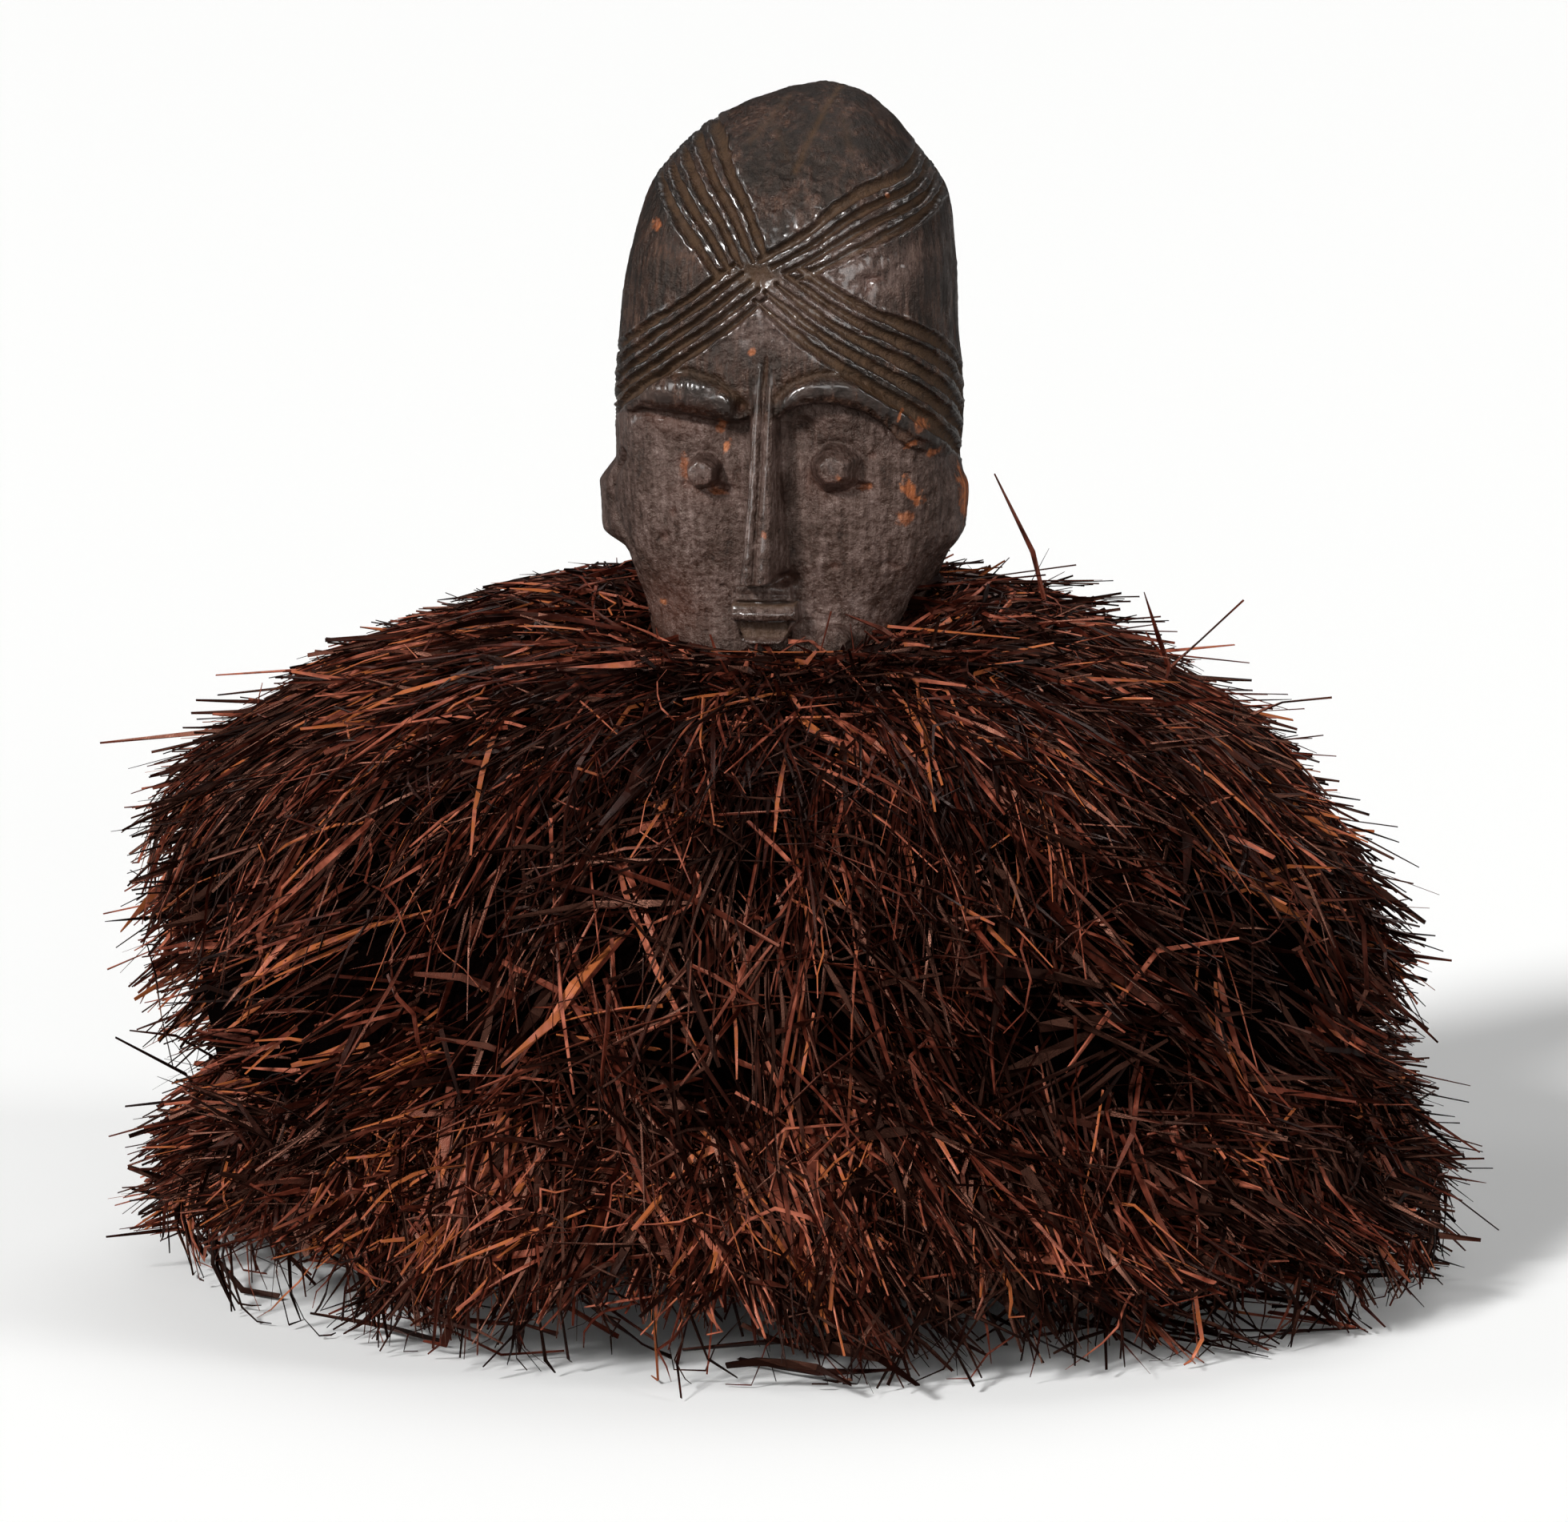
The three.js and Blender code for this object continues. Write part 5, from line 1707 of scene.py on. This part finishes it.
def upper_row() -> FibreRow:
    """The upper row: a thick cape from the neck over the shoulders."""
    return FibreRow(
        node="upper_fibre_row",
        name="upper_row",
        seed=101,
        left=((60, 294), (115, 290), (190, 264), (240, 232), (273, 199), (280, 163), (275, 118), (267, 84)),
        right=((60, 294), (108, 288), (156, 266), (201, 234), (231, 199), (256, 163), (267, 120), (268, 90)),
        front=((60, 267), (100, 272), (150, 264), (197, 243), (232, 210), (254, 168), (264, 124), (266, 84)),
        matted_depth=22,
        matted_shares=(0.02, 0.97),
        inner=((214, 108), (176, 152), (92, 210), (54, 240)),
        tufts=300,
        counts={
            StripKind.RADIAL: 4900,
            StripKind.BLADE: 520,
            StripKind.LYING: 1500,
            StripKind.CURLED: 420,
            StripKind.TANGLE: 520,
            StripKind.HAIR: 40,
        },
        starts=(0.02, 0.97),
        start_power=0.8,
        reach=1.0,
        longer_in_front=0.16,
        heart=240.0,
        drape_at_side=(1.8, 0.05),
        drape_in_front=(0.7, 0.5),
        warm_places=(
            (-120, -200, 110, 90, 40, 0.3),
            (60, -230, 150, 120, 60, 0.12),
            (-180, -60, 265, 90, 30, 0.15),
        ),
        strays=(
            # bent ones in front of the chin
            ((-50, -50, 260), (-46, -55, 271), (-49, -53, 282)),
            ((-18, -62, 260), (-21, -61, 270), (-25, -58, 280)),
            ((16, -66, 262), (24, -71, 276), (28, -69, 292)),
            ((44, -58, 262), (37, -63, 274), (35, -61, 286)),
            ((-2, -66, 262), (6, -70, 274), (17, -68, 281)),
            ((62, -50, 260), (52, -57, 273), (41, -61, 283)),
            ((-30, -58, 256), (-12, -66, 267), (8, -70, 274)),
            ((30, -64, 256), (16, -69, 266), (1, -70, 271)),
            ((60, -50, 274), (48, -56, 283), (33, -62, 290)),
            ((-44, -56, 261), (-22, -64, 268), (-4, -69, 271)),
            ((52, -57, 258), (34, -68, 267), (12, -71, 270)),
            ((46, -56, 271), (66, -54, 277), (88, -50, 281)),
            # single ones off the outline
            ((-228, 0, 230), (-258.9, 0, 226.1), (-303.7, 0, 220.6)),
            ((112, 0, 284), (105.3, 0, 310.6), (89, 0, 344)),
            ((170, 0, 248), (160.4, 0, 273.7), (153.4, 0, 294.2)),
            ((158, 0, 256), (177.5, 0, 273.9), (196.1, 0, 291.4)),
            ((196, 0, 241), (213, 0, 248), (234, 0, 250.2)),
            ((228, 0, 144), (260.8, 0, 141), (286.4, 0, 138.1)),
            ((236, 0, 95), (268.3, 0, 89), (295, 0, 83.8)),
        ),
    )


def lower_row() -> FibreRow:
    """The lower row: it shows under the upper one and stands on its tips."""
    line = ((222, 118), (244, 92), (258, 70), (267, 51), (272, 34), (268, 17), (262, 2))
    front = ((236, 122), (256, 96), (265, 72), (270, 52), (272, 34), (268, 17), (261, 2))
    return FibreRow(
        node="lower_fibre_row",
        name="lower_row",
        seed=211,
        left=line,
        right=line,
        front=front,
        matted_depth=24,
        matted_shares=(0.0, 0.5),
        inner=(
            (228, 58), (206, 62), (184, 84), (136, 138), (80, 184), (62, 198), (62, 216), (92, 206), (174, 148),
        ),
        tufts=260,
        counts={
            StripKind.RADIAL: 4500,
            StripKind.BLADE: 420,
            StripKind.LYING: 80,
            StripKind.CURLED: 300,
            StripKind.HAIR: 30,
        },
        starts=(0.02, 1.0),
        start_power=0.75,
        reach=0.9,
        heart=190.0,
        drape_at_side=(0.2, 0.15),
        drape_in_front=(0.5, 1.7),
        thin_beyond=0.7,
        thinned=0.7,
        tuft_lift=8.0,
        flare_right=14.0,
        warm_places=(
            (-110, -230, 50, 110, 50, 0.5),
            (30, -250, 60, 90, 40, 0.2),
            (-250, -60, 50, 60, 40, 0.2),
        ),
        strays=(
            ((252, 0, 84), (278.8, 0, 68.4), (299.5, 0, 55)),
            ((-6, -240, 30), (-8, -262, 12), (-4, -276, 1.5)),
        ),
    )


# Floor, lights and camera


@dataclass(frozen=True)
class SoftLight:
    """A far soft light, placed round the object by its angles and aimed at the object's middle."""

    name: str
    azimuth_deg: float
    elevation_deg: float
    spread_deg: float
    strength: float


@dataclass
class Studio:
    """A plain pale floor, soft light and the camera at the photograph's angle."""

    # the floor's tone to the camera and to the object, its radius in metres and its sides
    floor_colour: str = "#fdfdfc"
    floor_bounce: str = "#767472"
    floor_radius: float = 60.0
    floor_sides: int = 96
    world_strength: float = 0.07
    # the camera's aim, its angles round it and its distance, in degrees and metres; lens and sensor in mm
    aim: tuple[float, float, float] = (-0.0056, -0.0002, 0.2184)
    azimuth_deg: float = 8.0
    elevation_deg: float = 8.0
    distance: float = 3.0
    lens: float = 159.716
    sensor_width: float = 36.0
    farthest_seen: float = 60.0
    light_distance: float = 4.0
    lights: tuple[SoftLight, ...] = (
        SoftLight("key_from_upper_left", -27, 30, 10, 3.65),
        SoftLight("soft_front_right", 16, 7, 36, 1.5),
        SoftLight("edge_from_right", 78, 24, 20, 0.9),
        SoftLight("edge_from_left", -84, 12, 20, 0.6),
        SoftLight("top_from_behind", 172, 62, 30, 0.6),
    )

    def placed(self, azimuth_deg: float, elevation_deg: float, distance: float) -> Vector:
        """A place round the aim, by its angles and distance."""
        a, e = math.radians(azimuth_deg), math.radians(elevation_deg)
        away = Vector((math.sin(a) * math.cos(e), -math.cos(a) * math.cos(e), math.sin(e)))
        return Vector(self.aim) + away * distance

    def put(self, name: str, data: bpy.types.ID, where: Vector) -> bpy.types.Object:
        """Puts a light or camera at a place and aims it at the object."""
        made = bpy.data.objects.new(name, data)
        made.location = where
        made.rotation_euler = (Vector(self.aim) - where).to_track_quat("-Z", "Y").to_euler()
        bpy.context.scene.collection.objects.link(made)
        return made

    def floor(self) -> None:
        """Lays the floor."""
        angle = np.linspace(0, 2 * math.pi, self.floor_sides, endpoint=False)
        rim = np.column_stack([np.cos(angle), np.sin(angle), np.zeros(len(angle))]) * self.floor_radius
        mesh = mesh_of("floor", rim, [list(range(len(angle)))])
        paper, tree, shader = new_finish("matt_white_paper")
        # The floor is pale to the camera but lights the object less, as if black cards stood beside the camera.
        seen = add_node(tree, "ShaderNodeLightPath").outputs["Is Camera Ray"]
        tones = {"Factor": seen, "A": colour(self.floor_bounce), "B": colour(self.floor_colour)}
        tone = add_node(tree, "ShaderNodeMix", tones, data_type="RGBA").outputs[2]
        tree.links.new(tone, shader.inputs["Base Color"])
        shader.inputs["Roughness"].default_value = 0.9
        mesh.materials.append(paper)
        place_object("floor", mesh)

    def build(self) -> None:
        """Builds the floor, the world, the lights and the camera."""
        self.floor()
        world = bpy.data.worlds.new("white_studio")
        world.use_nodes = True
        tree = world.node_tree
        seen = add_node(tree, "ShaderNodeLightPath").outputs["Is Camera Ray"]
        sky = tree.nodes["Background"]
        sky.inputs["Color"].default_value = (1, 1, 1, 1)
        shining = {"Factor": seen, "A": self.world_strength, "B": 1.0}
        tree.links.new(add_node(tree, "ShaderNodeMix", shining).outputs[0], sky.inputs["Strength"])
        bpy.context.scene.world = world
        bpy.context.scene.view_settings.view_transform = "Standard"
        for light in self.lights:
            lamp = bpy.data.lights.new(light.name, "SUN")
            lamp.angle, lamp.energy = math.radians(light.spread_deg), light.strength
            where = self.placed(light.azimuth_deg, light.elevation_deg, self.light_distance)
            self.put(light.name, lamp, where)
        camera = bpy.data.cameras.new("camera")
        camera.lens, camera.sensor_width, camera.sensor_fit = self.lens, self.sensor_width, "HORIZONTAL"
        camera.clip_end = self.farthest_seen
        where = self.placed(self.azimuth_deg, self.elevation_deg, self.distance)
        bpy.context.scene.camera = self.put("camera", camera, where)


def main() -> None:
    """Builds the headdress and its studio in order and reports each piece."""
    logging.basicConfig(level=logging.INFO, format="%(name)s: %(message)s")
    Studio().build()
    LOG.info("studio and camera built")
    hand_over(CarvedHead().build(), "carved_head")
    tree = strips_tree()
    strip, matted = DriedStrip().material(), MattedFibre().material()
    for row in (upper_row(), lower_row()):
        row.build(tree, strip, matted)


if __name__ == "__main__":
    main()
